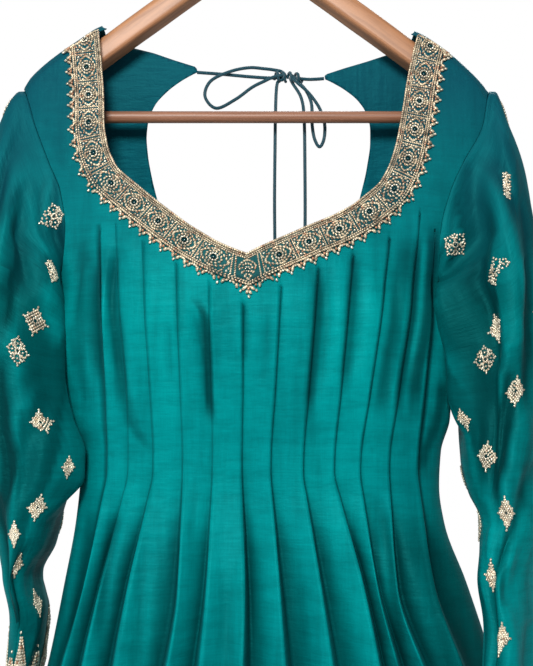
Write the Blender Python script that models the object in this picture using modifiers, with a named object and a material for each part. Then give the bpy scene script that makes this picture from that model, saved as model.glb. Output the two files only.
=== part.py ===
import math

import bmesh
import bpy
from mathutils import Vector

# Anarkali gown with full sleeves on a wooden hanger with a round bar.
# Metres, +Z up, +X to the viewer's right, the front faces -Y.
# The origin is the highest point inside the hook.

MM = 0.001
CLOTH = 2.0 * MM
SEAM_GAP = 0.5 * MM
WAIST_Z = -0.537
UNDERARM_Z = -0.380
HEM_Z = -1.475
BORDER_WIDTH = 0.029
BORDER_THICK = 2.4 * MM
BORDER_LIFT = 1.3 * MM
CORD_R = 1.5 * MM
BAR_R = 5.2 * MM
BAR_Z = -0.2275
HOOK_R = 1.8 * MM
HOOK_BEND = 0.0218
ARM_DEPTH = 0.011
ARM_HALF = 0.0105

# Level sections of the body, in mm: height, left half width, right half width,
# depth in front, depth behind, squareness of the section.
SECTIONS = (
    # z, left, right, front, back, square
    (-140, 225, 228, 17, 17, 8.0),
    (-200, 224, 226, 19, 19, 7.0),
    (-240, 214, 216, 28, 24, 5.0),
    (-300, 194, 194, 46, 33, 3.3),
    (-350, 178, 174, 59, 40, 2.7),
    (-380, 168, 160, 63, 43, 2.5),
    (-415, 173, 171, 66, 45, 2.4),
    (-445, 168, 169, 65, 46, 2.4),
    (-492, 158, 166, 60, 46, 2.4),
    (-519, 146, 158, 56, 45, 2.4),
    (-550, 148, 156, 55, 46, 2.4),
    (-580, 151, 160, 60, 50, 2.4),
    (-627, 159, 177, 72, 59, 2.4),
    (-687, 170, 196, 86, 70, 2.4),
    (-775, 192, 220, 101, 84, 2.3),
    (-1000, 250, 274, 135, 114, 2.3),
    (-1475, 372, 392, 198, 176, 2.2),
)

# Ridge of the shoulders, in mm: distance out from the centre, height.
RIDGE_LEFT = ((60, -120), (137, -147), (151, -156), (195, -191), (203, -203))
RIDGE_RIGHT = ((60, -120), (143, -152), (162, -164), (190, -189), (206, -207))

# Armhole edge of the panels, in mm: height, distance out on the left and right.
ARMHOLE = (
    (-203, 203, 206),
    (-215, 197, 201),
    (-240, 189, 196),
    (-275, 175, 177),
    (-301, 164, 165),
    (-335, 159, 156),
    (-362, 162, 155),
    (-380, 168, 160),
)

# Low part of the front neckline, in mm: across, height.
NECKLINE = (
    (-118, -281),
    (-115, -284),
    (-99, -298),
    (-84, -311),
    (-73, -320),
    (-54, -335),
    (-32, -349),
    (-17, -356),
    (-7, -360),
    (5, -354),
    (18, -348),
    (42, -337),
    (63, -328),
    (81, -318),
    (86, -312),
    (104, -298),
    (113, -281),
    (118, -268),
)
# Sides of the front neckline up to the shoulder, in mm: across, height.
NECK_SIDE_LEFT = ((-137, -147), (-133, -184), (-130, -214), (-128, -246), (-123, -268), (-115, -284))
NECK_SIDE_RIGHT = ((143, -152), (135, -183), (131, -202), (127, -225), (123, -245), (119, -263), (113, -281))

# Pressed pleats of the skirt, as shares of the half width at four heights.
PLEATS = (
    # name, side, bust, waist, hip, hem
    ("p01", -1, -0.73, -0.816, -0.82, -0.83),
    ("p02", -1, -0.65, -0.694, -0.73, -0.70),
    ("p03", -1, -0.52, -0.550, -0.60, -0.56),
    ("p04", -1, -0.36, -0.388, -0.37, -0.40),
    ("p05", -1, -0.21, -0.224, -0.23, -0.24),
    ("p06", -1, -0.053, -0.068, -0.044, -0.07),
    ("p07", 1, 0.127, 0.083, 0.119, 0.09),
    ("p08", 1, 0.30, 0.249, 0.294, 0.25),
    ("p09", 1, 0.464, 0.409, 0.43, 0.42),
    ("p10", 1, 0.63, 0.543, 0.52, 0.56),
    ("p11", 1, 0.74, 0.696, 0.64, 0.70),
    ("p12", 1, 0.87, 0.856, 0.82, 0.85),
)
PLEAT_LEVELS = (-397, -537, -625, -1475)
PLEAT_HEIGHTS = ((-340, 1.6), (-420, 2.4), (-537, 3.0), (-640, 6.0), (-900, 11.0), (-1475, 17.0))
PLEAT_FEET = ((-340, 2.2), (-537, 2.6), (-640, 5.0), (-1475, 13.0))

# Rows of the skirt below the waist, in mm.
SKIRT_ROWS = (-560, -590, -630, -680, -740, -810, -900, -1000, -1120, -1240, -1360, -1475)
BODICE_STEPS = 9
STRAP_STEPS = 8

# Opening in the back, in mm: across and height of the lower edge.
KEYHOLE = (
    (-93, -286),
    (-86, -305),
    (-75, -330),
    (-58, -358),
    (-36, -381),
    (-12, -392),
    (12, -392),
    (36, -382),
    (58, -360),
    (78, -330),
    (90, -305),
    (97, -286),
)


def ramp(table, at, column=1):
    rows = sorted(table)
    if at <= rows[0][0]:
        return rows[0][column]
    for low, high in zip(rows, rows[1:]):
        if at <= high[0]:
            share = (at - low[0]) / (high[0] - low[0])
            return low[column] + share * (high[column] - low[column])
    return rows[-1][column]


def ease(share):
    share = min(max(share, 0.0), 1.0)
    return share * share * (3.0 - 2.0 * share)


def half_width(side, z):
    return ramp(SECTIONS, z, 1 if side < 0 else 2)


def depth(x, z, front):
    """Depth of the panel at this place, in mm, taken from the level section there."""
    wide = half_width(-1 if x < 0 else 1, z)
    square = ramp(SECTIONS, z, 5)
    share = min(abs(x) / wide, 1.0)
    return ramp(SECTIONS, z, 3 if front else 4) * math.sqrt(max(1.0 - share**square, 0.0))


def edge_x(side, z):
    if z > UNDERARM_Z * 1000:
        return side * ramp(ARMHOLE, z, 1 if side < 0 else 2)
    return side * half_width(side, z)


def ridge_z(x):
    return ramp(RIDGE_LEFT if x < 0 else RIDGE_RIGHT, abs(x))


def pleat_share(pleat, z):
    levels = [(level, share) for level, share in zip(PLEAT_LEVELS, pleat[2:])]
    return ramp(levels, z)


def front_columns():
    """Columns of the front from the left side seam to the right one."""
    columns = [("side", -1, None, 0), ("near", -1, None, 0), ("out", -1, None, 0)]
    for index, pleat in enumerate(PLEATS):
        if pleat[1] < 0:
            columns.append(("foot", -1, index, 0))
            columns.append(("edge", -1, index, 1))
            if index == 5:
                columns.append(("mid", 1, None, 0))
        else:
            columns.append(("edge", 1, index, 1))
            columns.append(("foot", 1, index, 0))
    columns += [("out", 1, None, 0), ("near", 1, None, 0), ("side", 1, None, 0)]
    return columns


def column_x(column, z):
    """Place of a column across the body at this height, in mm."""
    kind, side, index, _ = column
    if kind == "side":
        return edge_x(side, z)
    if kind == "near":
        return edge_x(side, z) * 0.994
    if kind == "out":
        return edge_x(side, z) * 0.935
    if kind == "mid":
        return 0.5 * (
            pleat_share(PLEATS[5], z) * half_width(-1, z)
            + pleat_share(PLEATS[6], z) * half_width(1, z)
        )
    x = pleat_share(PLEATS[index], z) * half_width(side, z)
    return x + side * ramp(PLEAT_FEET, z) if kind == "foot" else x


def tooth(column, z, start):
    """How far a pressed fold stands proud, in mm."""
    if column[3] == 0:
        return 0.0
    return ramp(PLEAT_HEIGHTS, z) * ease((start - z) / 22.0)


def sheet(name, points, facing, material, collection):
    """Open grid of points turned into a cloth panel by Solidify."""
    work = bmesh.new()
    made = {key: work.verts.new(Vector(point)) for key, point in points.items()}
    for row, column in points:
        corners = [(row, column), (row + 1, column), (row + 1, column + 1), (row, column + 1)]
        if all(corner in made for corner in corners):
            face = [made[corner] for corner in corners]
            work.faces.new(face if facing > 0 else face[::-1])
    mesh = bpy.data.meshes.new(name)
    work.to_mesh(mesh)
    work.free()
    mesh.materials.append(material)
    panel = bpy.data.objects.new(name, mesh)
    collection.objects.link(panel)
    wall = panel.modifiers.new("wall", "SOLIDIFY")
    wall.thickness = CLOTH
    wall.offset = -1.0
    return panel


def strap_point(column, side, step, shoulder, low, front):
    """Point of a shoulder strap: over the ridge, then down to the neckline's corner."""
    share = step / STRAP_STEPS
    drops = (0.0, 4.0, 13.0)
    x = shoulder + (low[0] - shoulder) * share
    top = ridge_z(shoulder)
    if step < len(drops):
        z = top - drops[step]
        if column[0] in ("side", "near"):
            z = top - drops[step] * 0.8
    else:
        rest = (step - 2) / (STRAP_STEPS - 2)
        z = top - drops[2] + (low[1] - top + drops[2]) * rest
    if column[0] == "side":
        x = edge_x(side, z)
    elif column[0] == "near":
        x = edge_x(side, z) * 0.994
    elif column[0] == "out":
        x = edge_x(side, z) * 0.935
    y = depth(x, z, front)
    y *= (0.0, 0.80, 1.0)[min(step, 2)]
    return x, y + (0.9 if step == 0 else 0.0), z


def front_points():
    columns = front_columns()
    places = list(range(len(columns)))
    left_strap = places[:6]
    right_strap = places[-6:]
    corner_left = (-115.0, -284.0)
    corner_right = (113.0, -281.0)
    bust = PLEAT_LEVELS[0]
    corner_share_left = column_x(columns[left_strap[-1]], bust)
    corner_share_right = column_x(columns[right_strap[0]], bust)
    shoulders_left = {"side": -203, "near": -201.5, "out": -186}
    shoulders_right = {"side": 206, "near": 204.5, "out": 190}
    points = {}
    for place, column in enumerate(columns):
        side = column[1]
        strap = place in left_strap or place in right_strap
        if not strap:
            x_at_bust = column_x(column, bust)
            if x_at_bust < 0:
                top_x = x_at_bust / corner_share_left * corner_left[0]
            else:
                top_x = x_at_bust / corner_share_right * corner_right[0]
            top_z = ramp(NECKLINE, top_x)
            start = top_z - 36.0
        else:
            inner = place in (left_strap[-1], right_strap[0])
            corner = corner_left if side < 0 else corner_right
            if inner:
                top_x, top_z = corner
            elif column[0] in ("side", "near", "out"):
                top_z = -300.0
                top_x = edge_x(side, top_z) * {"side": 1.0, "near": 0.994, "out": 0.935}[column[0]]
            else:
                order = left_strap.index(place) if side < 0 else 5 - right_strap.index(place)
                share = (5 - order) / 3.0
                outer_x = edge_x(side, -295.0) * 0.935
                top_x = corner[0] + (outer_x - corner[0]) * share * 0.9
                top_z = corner[1] - 9.0 * share
            start = -335.0
            if inner:
                start = top_z - 40.0
                path = NECK_SIDE_LEFT if side < 0 else NECK_SIDE_RIGHT
                shoulder = path[0][0]
            elif column[0] in shoulders_left:
                shoulder = (shoulders_left if side < 0 else shoulders_right)[column[0]]
            else:
                near_neck = (-137.0, 143.0)[side > 0]
                far = (-186.0, 190.0)[side > 0]
                order = left_strap.index(place) if side < 0 else 5 - right_strap.index(place)
                shoulder = near_neck + (far - near_neck) * (5 - order) / 3.0
            for step in range(STRAP_STEPS):
                x, y, z = strap_point(column, side, step, shoulder, (top_x, top_z), True)
                if inner and step:
                    x = ramp([(height, across) for across, height in path], z)
                    y = depth(x, z, True) * (0.80 if step == 1 else 1.0)
                points[(step, place)] = (x, -y, z)
        for step in range(BODICE_STEPS + 1):
            share = step / BODICE_STEPS
            z = top_z + (WAIST_Z * 1000 - top_z) * share
            settle = ease(share / 0.45)
            x = top_x + (column_x(column, z) - top_x) * settle
            if column[0] == "side":
                x = edge_x(side, z)
            elif column[0] == "near":
                x = edge_x(side, z) * 0.994
            y = depth(x, z, True) + tooth(column, z, start)
            if column[0] == "side":
                y = max(y, SEAM_GAP / MM)
            points[(STRAP_STEPS + step, place)] = (x, -y, z)
        for step, z in enumerate(SKIRT_ROWS):
            x = column_x(column, z)
            y = depth(x, z, True) + tooth(column, z, start)
            if column[0] == "side":
                y = max(y, SEAM_GAP / MM)
            points[(STRAP_STEPS + BODICE_STEPS + 1 + step, place)] = (x, -y, z)
    return {key: [value * MM for value in point] for key, point in points.items()}


def back_points():
    """Back panel: straps, two wings that taper to the ties, and the body under the opening."""
    columns = front_columns()
    count = len(columns)
    corner = {-1: (-93.0, -286.0), 1: (97.0, -286.0)}
    edge_of_hole = {-1: 6, 1: count - 7}
    wings = {-1: (7, 8, 9), 1: (count - 8, count - 9, count - 10)}
    upper = {
        -1: ((-112, -158), (-92, -163), (-72, -170), (-54, -176.5)),
        1: ((121, -164), (100, -171), (80, -177), (63, -183)),
    }
    lower = {
        -1: ((-98, -226), (-92, -210), (-76, -195), (-56, -182.0)),
        1: ((103, -228), (96, -212), (82, -198), (65, -188.5)),
    }
    wing_rows = 4
    bust = PLEAT_LEVELS[0]
    points = {}
    for place, column in enumerate(columns):
        side = -1 if place < count / 2 else 1
        from_edge = place if side < 0 else count - 1 - place
        if from_edge <= 6:
            order = from_edge
            if order == 6:
                top = upper[side][0]
                turn = lower[side][0]
                low = corner[side]
            else:
                low_z = -296.0 + order * 1.5
                spread = (1.0, 0.994, 0.935, 0.86, 0.78, 0.70)[order]
                low = (edge_x(side, low_z) * spread, low_z)
                far = (-203.0, 206.0)[side > 0]
                neck = (-137.0, 143.0)[side > 0]
                shoulder = (far, far * 0.993, far * 0.92, far * 0.84, neck * 1.04, neck * 0.965)[order]
            for step in range(STRAP_STEPS):
                if order == 6:
                    if step <= wing_rows:
                        share = step / wing_rows
                        x = top[0] + (turn[0] - top[0]) * share
                        z = top[1] + (turn[1] - top[1]) * share
                    else:
                        share = (step - wing_rows) / (STRAP_STEPS - wing_rows)
                        x = turn[0] + (low[0] - turn[0]) * share - side * 5.0 * math.sin(math.pi * share) * -1
                        z = turn[1] + (low[1] - turn[1]) * share
                    y = depth(x, z, False)
                else:
                    x, y, z = strap_point(
                        (("side", "near", "out", "", "", "")[order],), side, step, shoulder, low, False
                    )
                    if order == 5 and step < 2:
                        y = 15.5
                        z = ridge_z(shoulder) - 9.0 - 3.0 * step
                points[(step, place)] = (x, y, z)
            top_x, top_z = low
            start = -330.0
        else:
            if place in wings[side]:
                order = wings[side].index(place) + 1
                for step in range(wing_rows + 1):
                    share = step / wing_rows
                    x = upper[side][order][0] + (lower[side][order][0] - upper[side][order][0]) * share
                    z = upper[side][order][1] + (lower[side][order][1] - upper[side][order][1]) * share
                    points[(step, place)] = (x, depth(x, z, False), z)
            reference = columns[edge_of_hole[side]]
            share = column_x(column, bust) / column_x(reference, bust)
            if column_x(column, bust) * side < 0:
                share = 0.0
            top_x = corner[side][0] * min(share, 1.0)
            top_z = ramp(KEYHOLE, top_x)
            start = top_z - 6.0
        for step in range(BODICE_STEPS + 1):
            share = step / BODICE_STEPS
            z = top_z + (WAIST_Z * 1000 - top_z) * share
            x = top_x + (column_x(column, z) - top_x) * ease(share / 0.7)
            if column[0] == "side":
                x = edge_x(side, z)
            elif column[0] == "near":
                x = edge_x(side, z) * 0.994
            y = depth(x, z, False) + tooth(column, z, start)
            if column[0] == "side":
                y = max(y, SEAM_GAP / MM)
            points[(STRAP_STEPS + step, place)] = (x, y, z)
        for step, z in enumerate(SKIRT_ROWS):
            x = column_x(column, z)
            y = depth(x, z, False) + tooth(column, z, start)
            if column[0] == "side":
                y = max(y, SEAM_GAP / MM)
            points[(STRAP_STEPS + BODICE_STEPS + 1 + step, place)] = (x, y, z)
    return {key: [value * MM for value in point] for key, point in points.items()}


# Rings of the sleeves below the armhole, in mm. The first rings still lean out
# from the underarm to the shoulder, the rest are level.
SLEEVE_LEAN = (
    # inner x, inner z, outer x, outer z, half depth
    (171, -389, 221, -236, 34),
    (175, -403, 234, -284, 45),
    (177, -422, 241, -345, 54),
    (176, -450, 241, -412, 60),
)
SLEEVE_LEFT = (
    # z, middle x, middle y, half thickness, half depth, turn in degrees
    (-492, -201, -8, 36, 60, 0),
    (-520, -192, -10, 37, 60, 0),
    (-545, -189, -12, 34, 59, 0),
    (-572, -189, -14, 27, 58, 0),
    (-596, -188, -16, 20, 56, 0),
    (-618, -190, -18, 12, 54, 0),
    (-650, -184, -18, 12.5, 52, 0),
    (-686, -186, -18, 11.5, 50, 0),
    (-725, -198, -18, 12, 49, 0),
    (-775, -213, -18, 13, 48, 0),
)
SLEEVE_RIGHT = (
    (-492, 207, -12, 35, 60, 5),
    (-526, 205, -22, 33, 59, 10),
    (-552, 207, -30, 30, 58, 16),
    (-572, 211, -38, 26, 56, 20),
    (-596, 207, -48, 23, 55, 24),
    (-620, 202, -56, 21, 54, 26),
    (-650, 203, -68, 19, 52, 28),
    (-686, 199, -80, 18, 50, 30),
    (-725, 200, -90, 17, 49, 30),
    (-775, 203, -100, 17, 48, 30),
)
SLEEVE_SIDES = 18


def armhole_ring(side, out):
    """Ring round the armhole. It runs from the top over the front, the underarm and the back."""
    top, bottom = -205.0, -381.0
    ring = []
    for index in range(SLEEVE_SIDES):
        angle = 2 * math.pi * index / SLEEVE_SIDES
        z = 0.5 * (top + bottom) + 0.5 * (top - bottom) * math.cos(angle)
        x = edge_x(side, z)
        front = math.sin(angle) > 0
        y = depth(x, z, front)
        if index == 0 or 2 * index == SLEEVE_SIDES:
            y = 0.0
        ring.append((x + side * out, -y if front else y, z))
    return ring


def level_ring(row, grow=0.0):
    z, mid_x, mid_y, thick, deep, turn = row
    side = 1 if mid_x > 0 else -1
    turned = math.radians(turn)
    ring = []
    for index in range(SLEEVE_SIDES):
        angle = 2 * math.pi * index / SLEEVE_SIDES
        u = (thick + grow) * math.cos(angle)
        v = -(deep + grow) * math.sin(angle)
        x = u * math.cos(turned) - v * math.sin(turned) * -1
        y = v * math.cos(turned) - u * math.sin(turned)
        ring.append((mid_x + side * x, mid_y + y, z))
    return ring


def sleeve_rings(side):
    rings = [armhole_ring(side, 1.4), armhole_ring(side, 7.0)]
    for inner_x, inner_z, outer_x, outer_z, deep in SLEEVE_LEAN:
        ring = []
        for index in range(SLEEVE_SIDES):
            angle = 2 * math.pi * index / SLEEVE_SIDES
            share = 0.5 + 0.5 * math.cos(angle)
            x = inner_x + (outer_x - inner_x) * share
            z = inner_z + (outer_z - inner_z) * share
            ring.append((side * x, -deep * math.sin(angle) - 4.0, z))
        rings.append(ring)
    for row in SLEEVE_LEFT if side < 0 else SLEEVE_RIGHT:
        rings.append(level_ring(row))
    return rings


def ring_points(rings):
    points = {}
    for row, ring in enumerate(rings):
        for column, point in enumerate(ring + ring[:1]):
            points[(row, column)] = [value * MM for value in point]
    return points


def tube_sheet(name, rings, facing, thickness, material, collection):
    work = bmesh.new()
    made = [[work.verts.new([value * MM for value in point]) for point in ring] for ring in rings]
    for upper_ring, lower_ring in zip(made, made[1:]):
        for index in range(len(upper_ring)):
            after = (index + 1) % len(upper_ring)
            face = [upper_ring[index], lower_ring[index], lower_ring[after], upper_ring[after]]
            work.faces.new(face if facing > 0 else face[::-1])
    mesh = bpy.data.meshes.new(name)
    work.to_mesh(mesh)
    work.free()
    mesh.materials.append(material)
    tube = bpy.data.objects.new(name, mesh)
    collection.objects.link(tube)
    wall = tube.modifiers.new("wall", "SOLIDIFY")
    wall.thickness = thickness
    wall.offset = -1.0
    return tube


def border_path():
    """Neckline from the left shoulder down to the point and up to the right shoulder, in mm."""
    left = [point for point in NECK_SIDE_LEFT if point[1] < -160]
    right = [point for point in NECK_SIDE_RIGHT if point[1] < -165]
    low = [point for point in NECKLINE if -115 < point[0] < 113]
    return [(-135.5, -160)] + left + low + right[::-1] + [(139, -165)]


def smooth_path(path, count):
    """Points at even spacing along a path."""
    lengths = [0.0]
    for before, after in zip(path, path[1:]):
        lengths.append(lengths[-1] + math.dist(before, after))
    found = []
    for index in range(count):
        goal = lengths[-1] * index / (count - 1)
        for start in range(len(path) - 1):
            if goal <= lengths[start + 1] + 1e-9:
                share = (goal - lengths[start]) / (lengths[start + 1] - lengths[start])
                found.append(
                    (
                        path[start][0] + share * (path[start + 1][0] - path[start][0]),
                        path[start][1] + share * (path[start + 1][1] - path[start][1]),
                    )
                )
                break
    return found


def border_points():
    path = smooth_path(border_path(), 57)
    points = {}
    for index, (x, z) in enumerate(path):
        before = path[max(index - 2, 0)]
        after = path[min(index + 2, len(path) - 1)]
        along = Vector((after[0] - before[0], after[1] - before[1])).normalized()
        away = Vector((along.y, -along.x))
        if away.y > 0.2:
            away = -away
        scallop = 1.0 if index % 2 else 0.0
        for column, share in enumerate((0.0, 0.45, 1.0)):
            wide = BORDER_WIDTH * 1000 * share + (scallop * 3.0 if column == 2 else 0.0)
            px = x + away.x * (wide + 0.4)
            pz = z + away.y * (wide + 0.4)
            pz = min(pz, ridge_z(px) - 8.0)
            drop = ridge_z(px) - pz
            y = depth(px, pz, True) * (0.8 + 0.2 * ease((drop - 4.0) / 9.0))
            y += BORDER_LIFT / MM + BORDER_THICK / MM + 0.8 * ease((24.0 - drop) / 8.0)
            points[(index, column)] = [px * MM, -y * MM, pz * MM]
    return points


def wire(name, points, radius, material, collection):
    """Round wire or cord along a path, with closed ends."""
    curve = bpy.data.curves.new(name, "CURVE")
    curve.dimensions = "3D"
    curve.bevel_depth = radius
    curve.bevel_resolution = 2
    curve.use_fill_caps = True
    spline = curve.splines.new("POLY")
    spline.points.add(len(points) - 1)
    for place, point in zip(spline.points, points):
        place.co = (point[0] * MM, point[1] * MM, point[2] * MM, 1.0)
    curve.materials.append(material)
    made = bpy.data.objects.new(name, curve)
    collection.objects.link(made)
    return made


def rounded(points, steps):
    """Smooth path through the given points."""
    path = [points[0]] + list(points) + [points[-1]]
    found = []
    for a, b, c, d in zip(path, path[1:], path[2:], path[3:]):
        for step in range(steps):
            t = step / steps
            found.append(
                tuple(
                    0.5
                    * (
                        2 * b[k]
                        + (c[k] - a[k]) * t
                        + (2 * a[k] - 5 * b[k] + 4 * c[k] - d[k]) * t * t
                        + (3 * b[k] - a[k] - 3 * c[k] + d[k]) * t**3
                    )
                    for k in range(3)
                )
            )
    found.append(points[-1])
    return found


def arms_mesh(name, material, collection):
    """Both wooden arms in one piece: one section carried along the shoulder line."""
    path = (
        (-186, -226),
        (-183, -213),
        (-170, -199),
        (-150, -182),
        (-110, -151),
        (-70, -121),
        (-30, -92),
        (-12, -80),
        (0, -76.5),
        (12, -80),
        (30, -92),
        (70, -121),
        (110, -151),
        (150, -182),
        (170, -199),
        (183, -213),
        (186, -226),
    )
    section = (
        (-1.0, -0.80),
        (-0.82, -1.0),
        (0.82, -1.0),
        (1.0, -0.80),
        (1.0, 0.62),
        (0.62, 1.0),
        (0.0, 1.14),
        (-0.62, 1.0),
        (-1.0, 0.62),
    )
    work = bmesh.new()
    rings = []
    for index, (x, z) in enumerate(path):
        before = path[max(index - 1, 0)]
        after = path[min(index + 1, len(path) - 1)]
        along = Vector((after[0] - before[0], after[1] - before[1])).normalized()
        up = Vector((-along.y, along.x))
        middle = 1.0 - min(abs(x) / 150.0, 1.0)
        half = ARM_HALF * (0.86 + 0.14 * (1.0 - abs(middle - 0.4)))
        ring = []
        for across, high in section:
            ring.append(
                work.verts.new(
                    (
                        x * MM + up.x * high * half,
                        across * ARM_DEPTH,
                        z * MM + up.y * high * half,
                    )
                )
            )
        rings.append(ring)
    for before, after in zip(rings, rings[1:]):
        for index in range(len(section)):
            following = (index + 1) % len(section)
            work.faces.new([before[index], before[following], after[following], after[index]])
    work.faces.new(rings[0][::-1])
    work.faces.new(rings[-1])
    bmesh.ops.recalc_face_normals(work, faces=work.faces)
    mesh = bpy.data.meshes.new(name)
    work.to_mesh(mesh)
    work.free()
    mesh.materials.append(material)
    made = bpy.data.objects.new(name, mesh)
    collection.objects.link(made)
    return made


def rod(name, start, end, radius, sides, material, collection):
    middle = [(a + b) / 2 * MM for a, b in zip(start, end)]
    span = Vector([(b - a) * MM for a, b in zip(start, end)])
    bpy.ops.mesh.primitive_cylinder_add(
        vertices=sides, radius=radius, depth=span.length, location=middle
    )
    made = bpy.context.object
    made.name = name
    made.data.name = name
    made.rotation_mode = "QUATERNION"
    made.rotation_quaternion = Vector((0, 0, 1)).rotation_difference(span)
    made.data.materials.append(material)
    for owner in list(made.users_collection):
        owner.objects.unlink(made)
    collection.objects.link(made)
    return made


def surface(name, colour, roughness, metallic=0.0):
    material = bpy.data.materials.new(name)
    material.use_nodes = True
    shader = material.node_tree.nodes["Principled BSDF"]
    shader.inputs["Base Color"].default_value = (*colour, 1.0)
    shader.inputs["Roughness"].default_value = roughness
    shader.inputs["Metallic"].default_value = metallic
    return material


for old in list(bpy.data.objects):
    bpy.data.objects.remove(old, do_unlink=True)

gown = bpy.data.collections.new("anarkali_gown_on_hanger")
bpy.context.scene.collection.children.link(gown)

silk = surface("teal_silk", (0.0, 0.27, 0.28), 0.5)
zari = surface("gold_embroidery", (0.62, 0.45, 0.27), 0.5, 0.3)
cording = surface("tie_cord", (0.01, 0.12, 0.17), 0.6)
wood = surface("hanger_wood", (0.55, 0.33, 0.2), 0.5)
steel = surface("hook_steel", (0.6, 0.6, 0.6), 0.3, 1.0)

# Front panel, pleated from the neckline to the hem.
sheet("front", front_points(), 1, silk, gown)

# Back panel with the large opening and its two tapered ends.
sheet("back", back_points(), -1, silk, gown)

# Sleeves, with the bands at their wrists a little outside them.
for side, word in ((-1, "left"), (1, "right")):
    rings = sleeve_rings(side)
    tube_sheet("sleeve_" + word, rings, side, CLOTH * 0.9, silk, gown)
    rows = SLEEVE_LEFT if side < 0 else SLEEVE_RIGHT
    band = [
        tuple(a + (b - a) * share for a, b in zip(rows[-3], rows[-2]))
        for share in (0.15, 1.0)
    ]
    band.append(rows[-1])
    cuff = [level_ring(row, 3.0) for row in band]
    tube_sheet("cuff_border_" + word, cuff, side, 1.2 * MM, zari, gown)

# Embroidered band that follows the neckline, laid on the front.
band = sheet("neck_border", border_points(), 1, zari, gown)
band.modifiers["wall"].thickness = BORDER_THICK

# Cord ties of the back: two leads, a bow knot, two loops and two free ends.
TIE_Y = 20.0
wire("tie_left", rounded(((-52.5, TIE_Y - 1, -180.3), (-30, 19, -182), (-5, 18.5, -184.5), (13.5, 18, -185.5)), 6), CORD_R, cording, gown)
wire("tie_right", rounded(((61.6, TIE_Y - 1, -186), (54, 19, -186.6), (45.8, 18, -187)), 4), CORD_R, cording, gown)
wire("bow_knot", rounded(((16.5, 18, -185), (22, 18, -184), (28, 18, -185.5), (36, 18, -186), (43, 18, -186.5)), 3), 3.2 * MM, cording, gown)
wire("loop_left", rounded(((18.5, 18, -178.9), (8, 17, -177.6), (-6, 16, -177), (-23, 15, -181), (-40, 14, -190), (-45, 14, -204), (-35, 14, -215), (-18, 14, -207), (-3, 13.5, -196), (8, 12.8, -190.5), (15, 13, -187)), 4), CORD_R, cording, gown)
wire("loop_right", rounded(((40, 18, -191.6), (45, 15, -198), (50, 13.5, -211), (50.5, 13, -230), (52.5, 13, -243), (57, 13, -251), (61, 13, -243), (61.5, 13, -229), (57, 13, -215), (48, 12.5, -202), (38, 12.6, -192.5)), 4), CORD_R, cording, gown)
wire("end_left", rounded(((19, 18, -190), (18, 16, -215), (17.5, 15, -250), (17, 15, -300), (17.5, 16, -350), (18.5, 17, -400), (19, 18, -435)), 6), CORD_R, cording, gown)
wire("end_right", rounded(((33, 18, -191), (41, 16, -205), (43.5, 15, -225), (44, 15, -270), (44, 16, -320), (43, 17, -370), (42.5, 18, -410)), 6), CORD_R, cording, gown)

# Wooden hanger with its round bar and steel hook.
arms_mesh("hanger_arms", wood, gown)
rod("hanger_bar", (-174.6, 0, BAR_Z * 1000), (174.6, 0, BAR_Z * 1000), BAR_R, 24, wood, gown)
rod("hook_collar", (0, 0, -64.0), (0, 0, -60.0), 5.0 * MM, 24, steel, gown)
bend = HOOK_BEND * 1000
middle_z = HOOK_R * 1000 - bend
hook_path = [(0, 0, -59.6), (0, 0, -52.0), (2.5, 0, -46.5)]
for step in range(29):
    angle = math.radians(-58 + 253 * step / 28)
    hook_path.append((bend * math.cos(angle), 0, middle_z + bend * math.sin(angle)))
hook_path.append((hook_path[-1][0] - 0.6, 0, hook_path[-1][2] - 7.0))
wire("hanger_hook", hook_path, HOOK_R, steel, gown)
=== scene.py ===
import math

import bmesh
import bpy
import numpy as np
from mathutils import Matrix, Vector
from mathutils.bvhtree import BVHTree


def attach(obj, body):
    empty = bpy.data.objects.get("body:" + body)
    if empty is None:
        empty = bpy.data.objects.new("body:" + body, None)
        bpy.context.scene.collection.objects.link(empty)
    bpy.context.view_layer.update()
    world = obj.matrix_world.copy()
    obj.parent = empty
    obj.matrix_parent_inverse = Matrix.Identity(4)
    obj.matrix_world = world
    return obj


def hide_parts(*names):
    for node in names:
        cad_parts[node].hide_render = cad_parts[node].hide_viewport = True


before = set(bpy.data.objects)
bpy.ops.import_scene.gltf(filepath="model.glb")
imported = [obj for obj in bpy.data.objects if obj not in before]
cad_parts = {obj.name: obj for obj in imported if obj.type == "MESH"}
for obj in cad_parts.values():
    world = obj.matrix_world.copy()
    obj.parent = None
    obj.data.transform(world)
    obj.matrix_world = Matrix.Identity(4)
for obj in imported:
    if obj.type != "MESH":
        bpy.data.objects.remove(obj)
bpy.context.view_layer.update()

# ---------------------------------------------------------------------------
# The room: a camera at chest height, tilted up a little towards the hanger, a
# pale floor below the hem, and large soft lights.

FLOOR_LEVEL, FLOOR_SIZE = -1.56, 5.2

scene = bpy.context.scene
scene.view_settings.view_transform = "Standard"


def in_scene(name, data):
    made = bpy.data.objects.new(name, data)
    scene.collection.objects.link(made)
    return made


def plain(name, colour, roughness, metallic=0.0, specular=0.5):
    """A finish that is the same all over."""
    made = bpy.data.materials.new(name)
    made.use_nodes = True
    skin = made.node_tree.nodes["Principled BSDF"]
    skin.inputs["Base Color"].default_value = (*colour, 1.0)
    skin.inputs["Roughness"].default_value = roughness
    skin.inputs["Metallic"].default_value = metallic
    skin.inputs["Specular IOR Level"].default_value = specular
    return made


camera = in_scene("camera", bpy.data.cameras.new("camera"))
camera.data.sensor_fit = "VERTICAL"
camera.data.sensor_height = 36.0
camera.data.lens = 59.71
camera.location = (0.0099, -0.9448, -0.5173)
camera.rotation_euler = (math.radians(96.0), 0.0, 0.0)
scene.camera = camera

bpy.ops.mesh.primitive_plane_add(size=FLOOR_SIZE, location=(0, 0, FLOOR_LEVEL))
floor = bpy.context.object
floor.name = "floor"
floor.data.materials.append(plain("pale_floor", (0.86, 0.86, 0.86), 0.9))

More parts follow.
